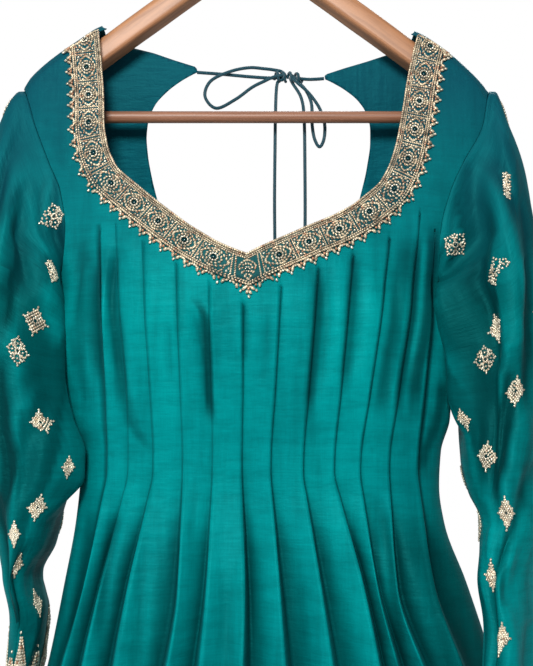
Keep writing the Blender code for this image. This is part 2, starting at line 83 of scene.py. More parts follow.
world = bpy.data.worlds.new("studio")
scene.world = world
world.use_nodes = True
room = world.node_tree
dim = room.nodes["Background"]
dim.inputs["Color"].default_value = (0.86, 0.93, 1.0, 1)
dim.inputs["Strength"].default_value = 0.24
white = room.nodes.new("ShaderNodeBackground")
white.inputs["Color"].default_value = (1.0, 1.0, 1.0, 1)
white.inputs["Strength"].default_value = 1.0
seen = room.nodes.new("ShaderNodeLightPath")
either = room.nodes.new("ShaderNodeMixShader")
room.links.new(seen.outputs["Is Camera Ray"], either.inputs[0])
room.links.new(dim.outputs[0], either.inputs[1])
room.links.new(white.outputs[0], either.inputs[2])
room.links.new(either.outputs[0], room.nodes["World Output"].inputs["Surface"])


def soft_light(name, place, aim, size, power, colour):
    data = bpy.data.lights.new(name, "AREA")
    data.shape = "DISK"
    data.size = size
    data.energy = power
    data.color = colour
    lamp = in_scene(name, data)
    lamp.location = place
    lamp.rotation_euler = (Vector(aim) - Vector(place)).to_track_quat("-Z", "Y").to_euler()


soft_light("key", (-0.25, -1.75, 0.42), (0, 0, -0.45), 0.55, 33.0, (1.0, 0.985, 0.96))
soft_light("fill", (-1.6, -1.2, -0.6), (0, 0, -0.6), 1.2, 5.0, (0.93, 0.97, 1.0))
soft_light("sky", (0.1, 0.2, 1.5), (0, 0, -0.4), 1.2, 9.0, (0.80, 0.90, 1.0))
soft_light("behind", (0.5, 2.1, 1.0), (0, 0, -0.6), 1.3, 26.0, (0.94, 1.0, 1.0))

# ---------------------------------------------------------------------------
# The ties of the back: two limp cords of dark teal silk, sewn to the two
# points of the back. Each runs to the knot, makes one loop of the bow and
# comes out of the knot again as a free end, cut and left plain.

MM = 0.001
CORD = 3.0 * MM
KNOT_TURN = 2.6 * MM


def rounded(points, steps=8):
    """Smooth path through the given points."""
    path = [points[0]] + list(points) + [points[-1]]
    found = []
    for a, b, c, d in zip(path, path[1:], path[2:], path[3:]):
        for step in range(steps):
            t = step / steps
            found.append(tuple(
                0.5 * (
                    2 * b[k] + (c[k] - a[k]) * t
                    + (2 * a[k] - 5 * b[k] + 4 * c[k] - d[k]) * t * t
                    + (3 * b[k] - a[k] - 3 * c[k] + d[k]) * t**3
                )
                for k in range(3)
            ))
    found.append(points[-1])
    return found


class Shader:
    """Short way to lay and join shader nodes."""

    def __init__(self, name):
        self.material = bpy.data.materials.new(name)
        self.material.use_nodes = True
        self.tree = self.material.node_tree
        self.out = self.tree.nodes["Principled BSDF"]

    def fill(self, socket, value):
        """Join the socket to a node's output, or set it to a plain value."""
        if isinstance(value, bpy.types.NodeSocket):
            self.tree.links.new(value, socket)
        else:
            socket.default_value = value

    def add(self, kind, **inputs):
        node = self.tree.nodes.new(kind)
        for key, value in inputs.items():
            if hasattr(node, key):
                setattr(node, key, value)
            else:
                self.fill(node.inputs[key.replace("_", " ")], value)
        return node

    def finish(self, **sockets):
        """Set the surface's own sockets, or join them."""
        for word, value in sockets.items():
            self.fill(self.out.inputs[word.replace("_", " ")], value)

    def noise(self, source, scale, detail, rough):
        return self.add(
            "ShaderNodeTexNoise", Vector=source, Scale=scale, Detail=detail, Roughness=rough,
        ).outputs["Fac"]

    def streaks(self, source, turns, seed, detail, rough):
        """Noise drawn out along the cloth or the grain: turns is how many there are to the metre each way."""
        there = self.add("ShaderNodeMapping", Vector=source, Scale=(*turns, 1.0), Location=(seed, seed, 0.0))
        return self.noise(there.outputs[0], 1.0, detail, rough)

    def curve(self, source, stops):
        """Colours along a ramp; a single number is a grey."""
        node = self.add("ShaderNodeValToRGB")
        self.tree.links.new(source, node.inputs[0])
        ramp = node.color_ramp
        while len(ramp.elements) < len(stops):
            ramp.elements.new(0.5)
        for element, (place, colour) in zip(ramp.elements, stops):
            element.position = place
            element.color = (*colour, 1.0) if isinstance(colour, tuple) else (colour, colour, colour, 1.0)
        return node.outputs["Color"]

    def maths(self, operation, a, b):
        node = self.add("ShaderNodeMath", operation=operation)
        self.fill(node.inputs[0], a)
        self.fill(node.inputs[1], b)
        return node.outputs[0]

    def mix(self, share, a, b, blend="MIX"):
        node = self.add("ShaderNodeMix", data_type="RGBA", blend_type=blend)
        for socket, value in zip((0, 6, 7), (share, a, b)):
            self.fill(node.inputs[socket], (*value, 1.0) if isinstance(value, tuple) else value)
        return node.outputs[2]

    def toned(self, tone, source, stops):
        """The colour made darker or lighter by a pattern."""
        return self.mix(1.0, tone, self.curve(source, stops), "MULTIPLY")

    def bump(self, height, strength, distance, under=None):
        node = self.add("ShaderNodeBump", Strength=strength, Distance=distance, Height=height)
        if under is not None:
            self.tree.links.new(under, node.inputs["Normal"])
        return node.outputs[0]


def twisted_cord_silk():
    s = Shader("dark_teal_cord")
    here = s.add("ShaderNodeTexCoord").outputs["Object"]
    twist = s.add("ShaderNodeTexWave", Vector=here, Scale=420.0, Distortion=1.5).outputs["Fac"]
    s.finish(
        Base_Color=s.curve(twist, ((0.0, (0.0, 0.035, 0.055)), (1.0, (0.006, 0.088, 0.125)))),
        Normal=s.bump(twist, 0.5, 0.0005), Roughness=0.5, Sheen_Weight=0.3, Sheen_Roughness=0.4,
    )
    return s.material


cord_silk = twisted_cord_silk()

CORD_LEFT = (
    (-52.5, 19, -180.3), (-30, 19, -182), (-5, 18.5, -184.5), (13.5, 18, -185.8), (26, 18.5, -184.4),
    (24, 17.5, -180.4), (17, 17.5, -178.6), (8, 17, -177.6), (-6, 16, -177), (-23, 15, -181), (-40, 14, -190),
    (-45, 14, -204), (-35, 14, -215), (-18, 14, -207), (-3, 13.5, -196), (8, 12.8, -190.5), (15, 13.4, -187),
    (24, 14.5, -184.5), (24.5, 17, -187.5), (19.5, 18, -191), (18, 16.6, -215), (17.5, 15.5, -250),
    (17, 15, -300), (17.5, 16, -350), (18.5, 17, -400), (19, 18, -435),
)
CORD_RIGHT = (
    (61.6, 19, -186), (54, 19, -186.6), (45.8, 18, -187), (36, 18.4, -185.6), (33, 16.8, -184.2),
    (36, 16.4, -187.4), (40, 17.4, -191.6), (45, 15, -198), (50, 13.5, -211), (50.5, 13, -230),
    (52.5, 13, -243), (57, 13, -250.5), (61, 13, -243), (61.5, 13, -229), (57, 13, -215), (48, 12.5, -202),
    (38, 12.6, -192.5), (33, 14, -187.6),
    (31.5, 16.6, -187), (33.5, 18, -191), (41, 16, -205), (43.5, 15, -225), (44, 15, -270), (44, 16, -320),
    (43, 17, -370), (42.5, 18, -410),
)
KNOT_WRAP = (
    (
        (17, 20.8, -186.4), (18, 21.6, -182), (19, 18, -180.2), (20, 13.6, -183.4), (20.6, 14.8, -188.4),
        (21.4, 19, -188.8), (22.4, 21.8, -184.6), (23.8, 18.8, -180.6), (25.4, 13.6, -183),
        (26.4, 14.6, -188.4), (27.2, 19, -189),
    ),
    (
        (28.6, 21.4, -185.4), (30.2, 19, -181), (31.6, 13.4, -183.4), (32.4, 14.4, -189),
        (33.4, 19.4, -189.8), (34.8, 21.8, -185.4), (36.4, 18.8, -181.6), (38.2, 13.6, -184.2),
        (39, 14.6, -189.2), (40.6, 19, -190.2), (42, 20.8, -187.4),
    ),
)


def finished_mesh(rough, material):
    """The object's finished mesh in one material; the object itself is taken away."""
    bpy.context.view_layer.update()
    graph = bpy.context.evaluated_depsgraph_get()
    mesh = bpy.data.meshes.new_from_object(rough.evaluated_get(graph), depsgraph=graph)
    bpy.data.objects.remove(rough, do_unlink=True)
    mesh.materials.clear()
    mesh.materials.append(material)
    mesh.shade_smooth()
    return mesh


def round_cord(name, places, thick, material):
    """A round cord or wire through the places, which are in mm."""
    curve = bpy.data.curves.new(name, "CURVE")
    curve.dimensions = "3D"
    curve.bevel_depth = thick / 2
    curve.bevel_resolution = 3
    curve.use_fill_caps = True
    line = curve.splines.new("POLY")
    line.points.add(len(places) - 1)
    for spot, point in zip(line.points, places):
        spot.co = (point[0] * MM, point[1] * MM, point[2] * MM, 1.0)
    line.use_smooth = True
    made = in_scene(name, finished_mesh(in_scene(name + "_line", curve), material))
    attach(made, "root")
    return made


knots = []
for word, places in zip(("left", "right"), KNOT_WRAP):
    wrap = round_cord("bow_knot_turns_" + word, rounded(places, 6), KNOT_TURN, cord_silk)
    knots.append(wrap)
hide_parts("bow_knot")
for word, places, knot in zip(("left", "right"), (CORD_LEFT, CORD_RIGHT), knots):
    route = rounded(places)
    tie = round_cord("tie_cord_" + word, route, CORD, cord_silk)
    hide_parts("tie_" + word, "loop_" + word, "end_" + word)

# ---------------------------------------------------------------------------
# The front: one length of teal slubbed silk from the neckline to the hem,
# knife-pleated with every pleat turned away from the middle. The pleats are
# sewn down as far as the waist and open below it.

CLOTH = 0.9 * MM
UPPER_FOOT, WAIST, HEM = -300.0, -537.0, -1475.0  # heights, in mm from the top of the hook
UPPER_ROWS, BODICE_ROWS, SKIRT_ROWS = 46, 62, 112  # rows of the mesh, top to bottom
RISER_COLUMNS, FLAT_COLUMNS, SIDE_COLUMNS = 6, 11, 12  # on a pleat's step, to the next one, by a side seam
SEAM_DROP = 9.0  # how far in front of the ridge the shoulder seam lies
RIDGE_ROUND = 14.0  # the cloth rounds over the shoulder ridge within this drop
FOLD_RISE = 26.0  # a pleat comes to its full height over this drop


def through(rows, column=1):
    """A smooth curve through the rows of a table, without overshoot."""
    rows = sorted(rows)
    xs = np.array([row[0] for row in rows], float)
    ys = np.array([row[column] for row in rows], float)
    gaps = np.diff(xs)
    slopes = np.diff(ys) / gaps
    turns = np.zeros(len(xs))
    turns[0], turns[-1] = slopes[0], slopes[-1]
    product = slopes[:-1] * slopes[1:]
    total = np.where(product > 0, slopes[:-1] + slopes[1:], 1.0)
    turns[1:-1] = np.where(product > 0, 2.0 * product / total, 0.0)

    def at(x):
        x = np.clip(np.asarray(x, float), xs[0], xs[-1])
        i = np.clip(np.searchsorted(xs, x, side="right") - 1, 0, len(gaps) - 1)
        t = (x - xs[i]) / gaps[i]
        return (
            ys[i] * (1 + 2 * t) * (1 - t) ** 2
            + ys[i + 1] * t * t * (3 - 2 * t)
            + gaps[i] * turns[i] * t * (1 - t) ** 2
            - gaps[i] * turns[i + 1] * t * t * (1 - t)
        )

    return at


def ease(t):
    t = np.clip(t, 0.0, 1.0)
    return t * t * (3.0 - 2.0 * t)


# Level sections in mm: height, depth in front, depth behind, squareness, and
# the half widths that the sections have when the armholes are filled in.
SECTIONS = (
    # z, front, back, square, left, right
    (-140, 17, 17, 8.0, 225, 228),
    (-200, 19, 19, 7.0, 224, 226),
    (-240, 28, 24, 5.0, 214, 216),
    (-300, 46, 33, 3.3, 194, 194),
    (-350, 59, 40, 2.7, 178, 174),
    (-380, 63, 43, 2.5, 168, 160),
    (-415, 66, 45, 2.4, 173, 171),
    (-445, 65, 46, 2.4, 168, 169),
    (-492, 60, 46, 2.4, 158, 166),
    (-519, 56, 45, 2.4, 146, 158),
    (-550, 55, 46, 2.4, 148, 156),
    (-580, 60, 50, 2.4, 151, 160),
    (-627, 72, 59, 2.4, 159, 177),
    (-687, 86, 70, 2.4, 170, 196),
    (-775, 101, 84, 2.3, 192, 220),
    (-1000, 135, 114, 2.3, 250, 274),
    (-1475, 198, 176, 2.2, 372, 392),
)
front_depth, back_depth = through(SECTIONS, 1), through(SECTIONS, 2)
square_at = through(SECTIONS, 3)
full_width = {-1: through(SECTIONS, 4), 1: through(SECTIONS, 5)}

# Cut edge of the panels in mm: shoulder point, armhole, then side seam.
EDGE = (
    # z, left, right
    (-203, 203, 206),
    (-215, 197, 201),
    (-240, 189, 196),
    (-275, 175, 177),
    (-301, 164, 165),
    (-335, 159, 156),
    (-362, 162, 155),
    (-380, 168, 160),
)
SIDE_SEAM = tuple((row[0], row[4], row[5]) for row in SECTIONS if row[0] < -380)
edge_at = {-1: through(EDGE + SIDE_SEAM, 1), 1: through(EDGE + SIDE_SEAM, 2)}

ridge_left = through(((0, -120), (60, -124), (137, -147), (151, -156), (195, -191), (203, -203), (215, -214)))
ridge_right = through(
    ((0, -120), (60, -124), (143, -152), (162, -164), (190, -189), (206, -207), (218, -219))
)


def ridge_at(x):
    return np.where(x < 0, ridge_left(np.abs(x)), ridge_right(np.abs(x)))


def depth_at(x, z, front=True):
    """Depth of the smooth body at this place, in mm."""
    wide = np.where(x < 0, full_width[-1](z), full_width[1](z))
    share = np.clip(np.abs(x) / wide, 0.0, 1.0)
    deep = front_depth(z) if front else back_depth(z)
    return deep * np.sqrt(np.clip(1.0 - share ** square_at(z), 0.0, 1.0))


# Pleats, a row for each: which way the fold faces; where its edge runs, in mm
# across at -300, -397, -470, -537 and -625, then as a share of the half width
# at -900 and at the hem; the height where it starts; and how far it stands up
# on the bodice and on the skirt, as a share of pleat_depth_at.
FRONT_PLEATS = (
    (-1, -129, -125, -121, -120, -135, -0.83, -0.84, -332, 1.3, 0.8),
    (-1, -116, -111, -104, -102, -121, -0.70, -0.70, -330, 1.3, 0.9),
    (-1, -93, -89, -84, -81, -98, -0.56, -0.56, -347, 1.0, 1.0),
    (-1, -65, -62, -59, -57, -58, -0.375, -0.40, -365, 1.1, 1.1),
    (-1, -37, -36, -34, -33, -36, -0.23, -0.25, -382, 1.4, 0.85),
    (1, -9, -9, -9, -10, -7, -0.055, -0.06, -398, 1.0, 1.1),
    (1, 25, 21, 17, 13, 20, 0.13, 0.12, -385, 1.1, 1.0),
    (1, 57, 50, 44, 39, 52, 0.31, 0.29, -370, 1.3, 1.0),
    (1, 86, 77, 70, 64, 85, 0.47, 0.44, -358, 1.1, 1.25),
    (1, 116, 105, 94, 85, 96, 0.58, 0.58, -342, 1.2, 0.9),
    (1, 140, 130, 118, 109, 112, 0.70, 0.71, -318, 1.2, 1.1),
    (1, 152, 148, 140, 134, 143, 0.83, 0.85, -332, 1.1, 1.0),
)
BACK_PLEATS = (
    (-1, -142, -137, -132, -127, -138, -0.83, -0.84, -345, 1.0, 0.9),
    (-1, -118, -113, -108, -104, -119, -0.71, -0.71, -345, 1.0, 1.1),
    (-1, -92, -87, -82, -80, -93, -0.57, -0.56, -372, 1.1, 0.9),
    (-1, -66, -62, -60, -58, -66, -0.41, -0.41, -392, 1.0, 1.1),
    (-1, -39, -37, -36, -35, -40, -0.25, -0.25, -402, 1.2, 1.0),
    (-1, -12, -12, -12, -11, -14, -0.09, -0.09, -405, 1.0, 0.9),
    (1, 14, 14, 13, 12, 14, 0.08, 0.08, -405, 1.0, 1.1),
    (1, 42, 40, 39, 37, 44, 0.25, 0.25, -402, 1.1, 0.9),
    (1, 70, 67, 64, 61, 70, 0.41, 0.41, -392, 1.0, 1.1),
    (1, 97, 92, 88, 84, 98, 0.56, 0.56, -372, 1.2, 1.0),
    (1, 124, 118, 113, 108, 122, 0.70, 0.70, -345, 1.0, 1.1),
    (1, 146, 141, 137, 132, 146, 0.84, 0.84, -345, 1.0, 0.9),
)
PLEAT_LEVELS = (-300, -397, -470, -537, -556, -625, -710, -900, -1475)
pleat_depth_at = through((
    (-300, 1.9), (-420, 2.0), (-500, 1.9), (-537, 2.8), (-575, 8.5), (-625, 17.0), (-690, 24.0), (-775, 29.0),
    (-1000, 37.0), (-1475, 44.0),
))
riser_at = through((
    (-300, -1.0), (-480, -1.0), (-545, 0.0), (-600, 2.0), (-690, 6.0), (-800, 10.0), (-1475, 22.0),
))
skirt_share = through(((-520, 0.0), (-620, 0.55), (-760, 1.0), (-1475, 1.0)))

# Creases of the bodice and the skirt, in mm: the places they run through, how
# wide they are and how deep. A negative depth is a raised fold.
FRONT_CREASES = (
    (((-108, -398), (-107, -450), (-103, -490), (-86, -516), (-66, -524)), 6.5, 3.2),
    (((-112, -345), (-116, -395), (-112, -440), (-106, -470)), 5.0, 3.4),
    (((-128, -338), (-132, -380), (-133, -430), (-128, -470)), 5.0, 2.4),
    (((-141, -335), (-146, -375), (-149, -430), (-141, -480)), 5.0, 2.2),
    (((-120, -352), (-124, -420), (-119, -480)), 3.5, -1.6),
    (((-50, -402), (-43, -425), (-37, -455), (-36, -497), (-28, -505)), 5.5, 3.6),
    (((-69, -415), (-68, -440), (-67, -470)), 2.6, 1.3),
    (((13, -402), (11, -430), (5, -470)), 5.0, 1.2),
    (((58, -372), (57, -420), (50, -480)), 7.0, 3.0),
    (((86, -362), (84, -410), (74, -470)), 8.0, 2.6),
    (((116, -352), (115, -410), (106, -460), (98, -500)), 8.0, 3.6),
    (((137, -335), (134, -390), (124, -450), (120, -490)), 7.0, 3.8),
    (((150, -345), (152, -400), (146, -460)), 5.0, 2.0),
    (((-183, -232), (-178, -252), (-172, -268)), 4.0, 1.8),
    (((182, -245), (176, -268), (166, -292)), 4.0, 1.4),
    (((-147, -520), (-118, -527), (-90, -524)), 3.0, 0.9),
    (((60, -519), (100, -523), (140, -517)), 3.0, 0.9),
    (((-135, -560), (-146, -620), (-152, -690)), 7.0, 5.0),
    (((-106, -556), (-116, -610), (-122, -680)), 6.0, 4.0),
    (((-84, -560), (-89, -640), (-93, -720), (-98, -850)), 8.0, 4.0),
    (((-22, -600), (-20, -680), (-22, -800)), 8.0, 4.5),
    (((33, -570), (36, -640), (39, -740), (40, -900)), 9.0, 5.5),
    (((98, -545), (106, -590), (112, -650), (118, -760)), 8.0, 7.0),
    (((128, -560), (140, -620), (152, -690), (170, -800)), 8.0, 5.0),
    (((-3, -640), (-6, -700), (-12, -800)), 5.0, -3.0),
    (((70, -620), (75, -720), (80, -900)), 8.0, 4.0),
    (((-130, -760), (-160, -1000), (-190, -1300)), 14.0, 7.0),
    (((-60, -760), (-74, -1000), (-84, -1300)), 14.0, 7.0),
    (((60, -800), (74, -1050), (84, -1350)), 14.0, 7.0),
    (((140, -820), (180, -1100), (216, -1400)), 15.0, 8.0),
    (((0, -820), (4, -1100), (-4, -1400)), 14.0, 6.0),
)
BACK_CREASES = (
    (((-120, -330), (-128, -400), (-120, -480)), 7.0, 3.0),
    (((124, -330), (130, -400), (122, -480)), 7.0, 3.2),
    (((-60, -410), (-55, -460), (-48, -505)), 6.0, 2.2),
    (((55, -410), (52, -460), (44, -505)), 6.0, 2.4),
    (((-130, -560), (-150, -660), (-170, -780)), 9.0, 6.0),
    (((-40, -580), (-48, -700), (-52, -860)), 9.0, 6.0),
    (((44, -575), (50, -700), (56, -860)), 9.0, 6.0),
    (((128, -560), (146, -660), (166, -780)), 9.0, 6.0),
    (((-170, -860), (-210, -1150), (-240, -1400)), 15.0, 8.0),
    (((0, -700), (2, -1000), (-6, -1350)), 13.0, 7.0),
    (((170, -860), (206, -1150), (236, -1400)), 15.0, 8.0),
)

# Soft shadows laid on where the drawn-up cloth lies turned from the light: the
# places they run through, half width, how dark.
FRONT_SHADOWS = (
    (((-145, -335), (-144, -356), (-143, -397), (-142, -439), (-137, -495)), 5.0, 0.42),
    (((-139, -345), (-133, -385), (-130, -420), (-128, -470)), 2.5, 0.50),
    (((-121, -345), (-118, -376), (-113, -410), (-109, -452), (-106, -495)), 6.0, 0.50),
    (((-104, -470), (-96, -500), (-80, -522)), 4.0, 0.28),
    (((-61, -365), (-60, -400), (-60, -435)), 4.5, 0.32),
    (((-50, -392), (-40, -412), (-38, -439), (-37, -468), (-32, -502)), 3.6, 0.90),
    (((-8, -398), (-7, -420), (-8, -450)), 3.0, 0.50),
    (((53, -366), (52, -380), (50, -418), (46, -460), (42, -500)), 4.2, 0.76),
    (((82, -350), (81, -365), (78, -397), (76, -428), (71, -480)), 5.0, 0.58),
    (((124, -335), (123, -356), (120, -387), (115, -418), (107, -460), (100, -505)), 6.5, 0.60),
    (((136, -335), (135, -356), (131, -397), (125, -432), (119, -464), (113, -505)), 3.8, 0.74),
    (((150, -320), (149, -356), (145, -393), (139, -429), (132, -464), (130, -505)), 6.0, 0.88),
    (((156, -455), (155, -475), (150, -497), (140, -522), (136, -545)), 5.5, 0.75),
    (((-160, -215), (-166, -250), (-160, -290)), 5.0, 0.30),
    (
        ((122, -545), (136, -575), (150, -610), (164, -650), (178, -700), (196, -800), (226, -1000)),
        32.0, 0.66,
    ),
    (((-160, -600), (-169, -650), (-178, -700), (-196, -800)), 9.0, 0.65),
)
BACK_SHADOWS = (
    (((-122, -340), (-118, -376), (-113, -410), (-106, -495)), 6.0, 0.45),
    (((52, -400), (50, -430), (44, -500)), 5.0, 0.55),
    (((124, -340), (120, -387), (107, -460), (100, -505)), 6.0, 0.50),
)


def line_through(places):
    """Where a line through the places lies across, for a height."""
    return through([(height, across) for across, height in places])


def along_line(places, z, upper, lower):
    """1 along the line, easing to 0 over these shares of its length at its two ends."""
    top, foot = places[0][1], places[-1][1]
    return ease((top - z) / (upper * (top - foot))) * ease((z - foot) / (lower * (top - foot)))


def shadow_at(shadows, x, z):
    """How dark the soft shadows are at this place, from 0 to 1."""
    total = np.zeros_like(x)
    for places, half, dark in shadows:
        off = (x - line_through(places)(z)) / half
        total = np.maximum(total, dark * along_line(places, z, 0.16, 0.22) * np.exp(-(off ** 4)))
    return total


def crease_depth(creases, x, z):
    """How far the listed creases sink the cloth, in mm."""
    total = np.zeros_like(x)
    for places, wide, deep in creases:
        off = (x - line_through(places)(z)) / wide
        total += deep * along_line(places, z, 0.22, 0.28) * np.exp(-(off ** 2))
    return total


def ripple(x, z, seed, wide, tall):
    """Gentle unevenness between -1 and 1, the same on every run."""
    draw = np.random.default_rng(seed)
    total = np.zeros_like(x)
    for _ in range(7):
        a, b = draw.uniform(0.6, 1.5, 2)
        turn = draw.uniform(-0.5, 0.5)
        phase = draw.uniform(0, 2 * math.pi)
        total += np.sin(2 * math.pi * (a * x / wide + (b + turn * x / wide * 0.2) * z / tall) + phase)
    return total / 5.0


def panel_grid(pleats, creases, front):
    """Places of the cloth of one panel before it is cut out, in mm, and the painted shade of each: how deep
    in a fold it lies, with the soft shadows laid over.
    """
    lines = []
    for pleat in pleats:
        half = [float(edge_at[-1 if pleat[1] < 0 else 1](z)) for z in PLEAT_LEVELS[-2:]]
        waist, hip, thigh, hem = pleat[4], pleat[5], pleat[6] * half[0], pleat[7] * half[1]
        under_waist, over_thigh = waist + 0.21 * (hip - waist), hip + 0.42 * (thigh - hip)
        places = [*pleat[1:5], under_waist, hip, over_thigh, thigh, hem]
        lines.append((pleat[0], through(list(zip(PLEAT_LEVELS, places))), pleat[8], pleat[9], pleat[10]))

    def line_x(k, z):
        x = lines[k][1](z)
        inner = ease((z + 300.0) / 90.0)
        return x * (1 + 0.12 * inner)

    def height(k, z):
        facing, _, start, bodice, skirt = lines[k]
        strength = bodice + (skirt - bodice) * skirt_share(z)
        return pleat_depth_at(z) * strength * ease((start - z) / FOLD_RISE)

    side_shares = np.linspace(0, 1, SIDE_COLUMNS)[:-1] ** 1.9
    columns = [("left", 0, t) for t in side_shares]
    last = len(lines) - 1
    for k in range(len(lines)):
        columns += [("riser", k, t) for t in np.linspace(0, 1, RISER_COLUMNS)]
        if k < last:
            columns += [("panel", k, t) for t in np.linspace(0, 1, FLAT_COLUMNS)[1:-1]]
    columns += [("right", last, t) for t in (1.0 - side_shares)[::-1]]

    drops = np.linspace(SEAM_DROP, 26, 9)[:-1] if front else np.linspace(-SEAM_DROP, 17, 15)[:-1]
    lead = drops[-1] + (drops[1] - drops[0])

    def across(kind, k, t, z):
        """Place across the body, and how far the fold stands up, for one column."""
        if kind == "left":
            foot = line_x(0, z) - np.maximum(riser_at(z), 0.0)
            return -edge_at[-1](z) + (foot + edge_at[-1](z)) * t, 0.0 * z
        if kind == "right":
            foot = line_x(last, z) + np.maximum(riser_at(z), 0.0)
            return foot + (edge_at[1](z) - foot) * t, 0.0 * z
        facing = lines[k][0]
        if kind == "riser":
            up = height(k, z)
            t = t if facing < 0 else 1.0 - t
            run = facing * (1.0 - t) * riser_at(z)
            fade = ease((lines[k][2] - z) / FOLD_RISE)
            round_over = facing * 0.7 * np.sin(math.pi * min(t * 1.25, 1.0)) * (riser_at(z) < 1.5)
            return line_x(k, z) + (run + round_over) * fade + 0.02 * facing * (1 - t), up * ease(t)
        here, after = lines[k][0], lines[k + 1][0]
        fade_here = ease((lines[k][2] - z) / FOLD_RISE)
        fade_after = ease((lines[k + 1][2] - z) / FOLD_RISE)
        low = line_x(k, z) + (here * riser_at(z) * fade_here if here > 0 else 0.0)
        high = line_x(k + 1, z) + (after * riser_at(z) * fade_after if after < 0 else 0.0)
        h_low = height(k, z) if here < 0 else 0.0 * z
        h_high = height(k + 1, z) if after > 0 else 0.0 * z
        soft = skirt_share(z)
        straight = h_low + (h_high - h_low) * t
        rolled = h_low + (h_high - h_low) * ease(t)
        if here < 0 and after > 0:
            belly = 0.28 * soft * np.minimum(h_low, h_high) * math.sin(math.pi * t)
            return low + (high - low) * t, straight - belly
        return low + (high - low) * t, straight * (1 - 0.3 * soft) + rolled * 0.3 * soft

    rows = [("top", drop) for drop in drops] + [("blend", share) for share in np.linspace(0, 1, UPPER_ROWS)]
    rows += [("level", z) for z in np.linspace(UPPER_FOOT, WAIST, BODICE_ROWS + 1)[1:]]
    rows += [("level", z) for z in WAIST + (HEM - WAIST) * np.linspace(0, 1, SKIRT_ROWS + 1)[1:] ** 1.12]

    X = np.zeros((len(rows), len(columns)))
    H = np.zeros_like(X)
    Z = np.zeros_like(X)
    D = np.full_like(X, 99.0)  # drop below the shoulder ridge; the levels lie far below it
    for j, (kind, k, t) in enumerate(columns):
        x0, _ = across(kind, k, t, np.array([-205.0]))
        for _ in range(3):
            x0, _ = across(kind, k, t, np.minimum(ridge_at(x0), -140.0))
        top = float(ridge_at(x0)[0])
        for i, (how, value) in enumerate(rows):
            if how == "top":
                Z[i, j] = top - abs(value)
                D[i, j] = value
            elif how == "blend":
                Z[i, j] = top - lead + (UPPER_FOOT - top + lead) * value
                D[i, j] = top - Z[i, j]
            else:
                Z[i, j] = value
        X[:, j], H[:, j] = across(kind, k, t, Z[:, j])
    roll = np.sqrt(np.clip(1.0 - (1.0 - np.clip(np.abs(D), 0, RIDGE_ROUND) / RIDGE_ROUND) ** 2, 0.0, 1.0))
    base = depth_at(X, Z, front) * roll * np.where(D < 0, -1.0, 1.0)
    folds = H - 0.5 * pleat_depth_at(Z) * skirt_share(Z)
    inside = ease((edge_at[1](Z) * (X > 0) + edge_at[-1](Z) * (X <= 0) - np.abs(X)) / 22.0)
    folds = folds * inside - crease_depth(creases, X, Z) * inside
    folds = folds + ripple(X, Z, 3 if front else 5, 120, 260) * 0.8 * inside * ease((-205 - Z) / 60)
    folds = folds + ripple(X, Z, 8 if front else 9, 46, 90) * 0.35 * inside * ease((-255 - Z) / 60)
    soft_folds = ripple(X, Z, 8, 46, 90) * 0.4 - crease_depth(creases, X, Z) * inside
    # Painted shade: cloth that lies lower than the smoothed cloth around it is darkened.
    painted_shade = np.zeros_like(X)
    for i in range(len(X)):
        even = np.arange(X[i, 0], X[i, -1], 1.0)
        order = np.argsort(X[i])
        lie = np.interp(even, X[i][order], soft_folds[i][order])
        reach = int(12 + 10 * float(skirt_share(Z[i].mean())))
        kernel = np.hanning(2 * reach + 1)
        smooth = np.convolve(np.pad(lie, reach, mode="edge"), kernel / kernel.sum(), mode="valid")
        painted_shade[i] = np.interp(X[i], even, smooth) - soft_folds[i]
    painted_shade = np.clip(painted_shade / (2.2 + 0.12 * pleat_depth_at(Z)), 0.0, 0.9)
    # Painted shade by each pleat: dark at the foot of its riser, fading across the panel beyond, lighter just
    # above the waist, none above where the pleat starts.
    for j, (kind, k, t) in enumerate(columns):
        z = Z[:, j]
        soft = skirt_share(z)
        facing = lines[k][0]
        if kind == "riser":
            low_end = t if facing > 0 else 1.0 - t
            behind = ease(low_end * 1.6) * (1.0 - 0.15 * soft)
            owner = k
        else:
            owner = k if kind != "panel" or facing > 0 else k + 1
            near = t if kind == "right" or (kind == "panel" and facing > 0) else 1.0 - t
            if kind == "panel" and facing < 0 and lines[k + 1][0] > 0:
                continue
            deep = ease((-548 - z) / 55)
            middle = 1.0 if abs(float(lines[owner][1](-700.0))) > 75 else 0.78
            reach = 0.07 + 0.38 * deep * middle
            behind = (0.42 + 0.55 * deep * middle) * np.exp(-((near / reach) ** (1.2 + 0.8 * deep)))
            behind = behind * (1.0 - 0.6 * ease((near - 0.55) / 0.45))
        behind = behind * (1.0 - 0.5 * np.exp(-(((z + 512) / 34) ** 2)))
        behind = behind * ease((lines[owner][2] - z) / FOLD_RISE) * np.clip(
            0.55 + 0.45 * lines[owner][4], 0, 1.1,
        )
        before = painted_shade[:, j]
        painted_shade[:, j] = np.clip(np.maximum(before, behind) + 0.35 * np.minimum(before, behind), 0, 1)
    # The soft painted shadows are laid over the painted shade.
    painted_shade = 1 - (1 - painted_shade) * (1 - shadow_at(FRONT_SHADOWS if front else BACK_SHADOWS, X, Z))
    Y = base + folds
    Z = Z + 5.0 * ripple(X, Z, 21, 260, 900) * ease((-1200 - Z) / 300)
    return X, (-Y if front else Y), Z, painted_shade


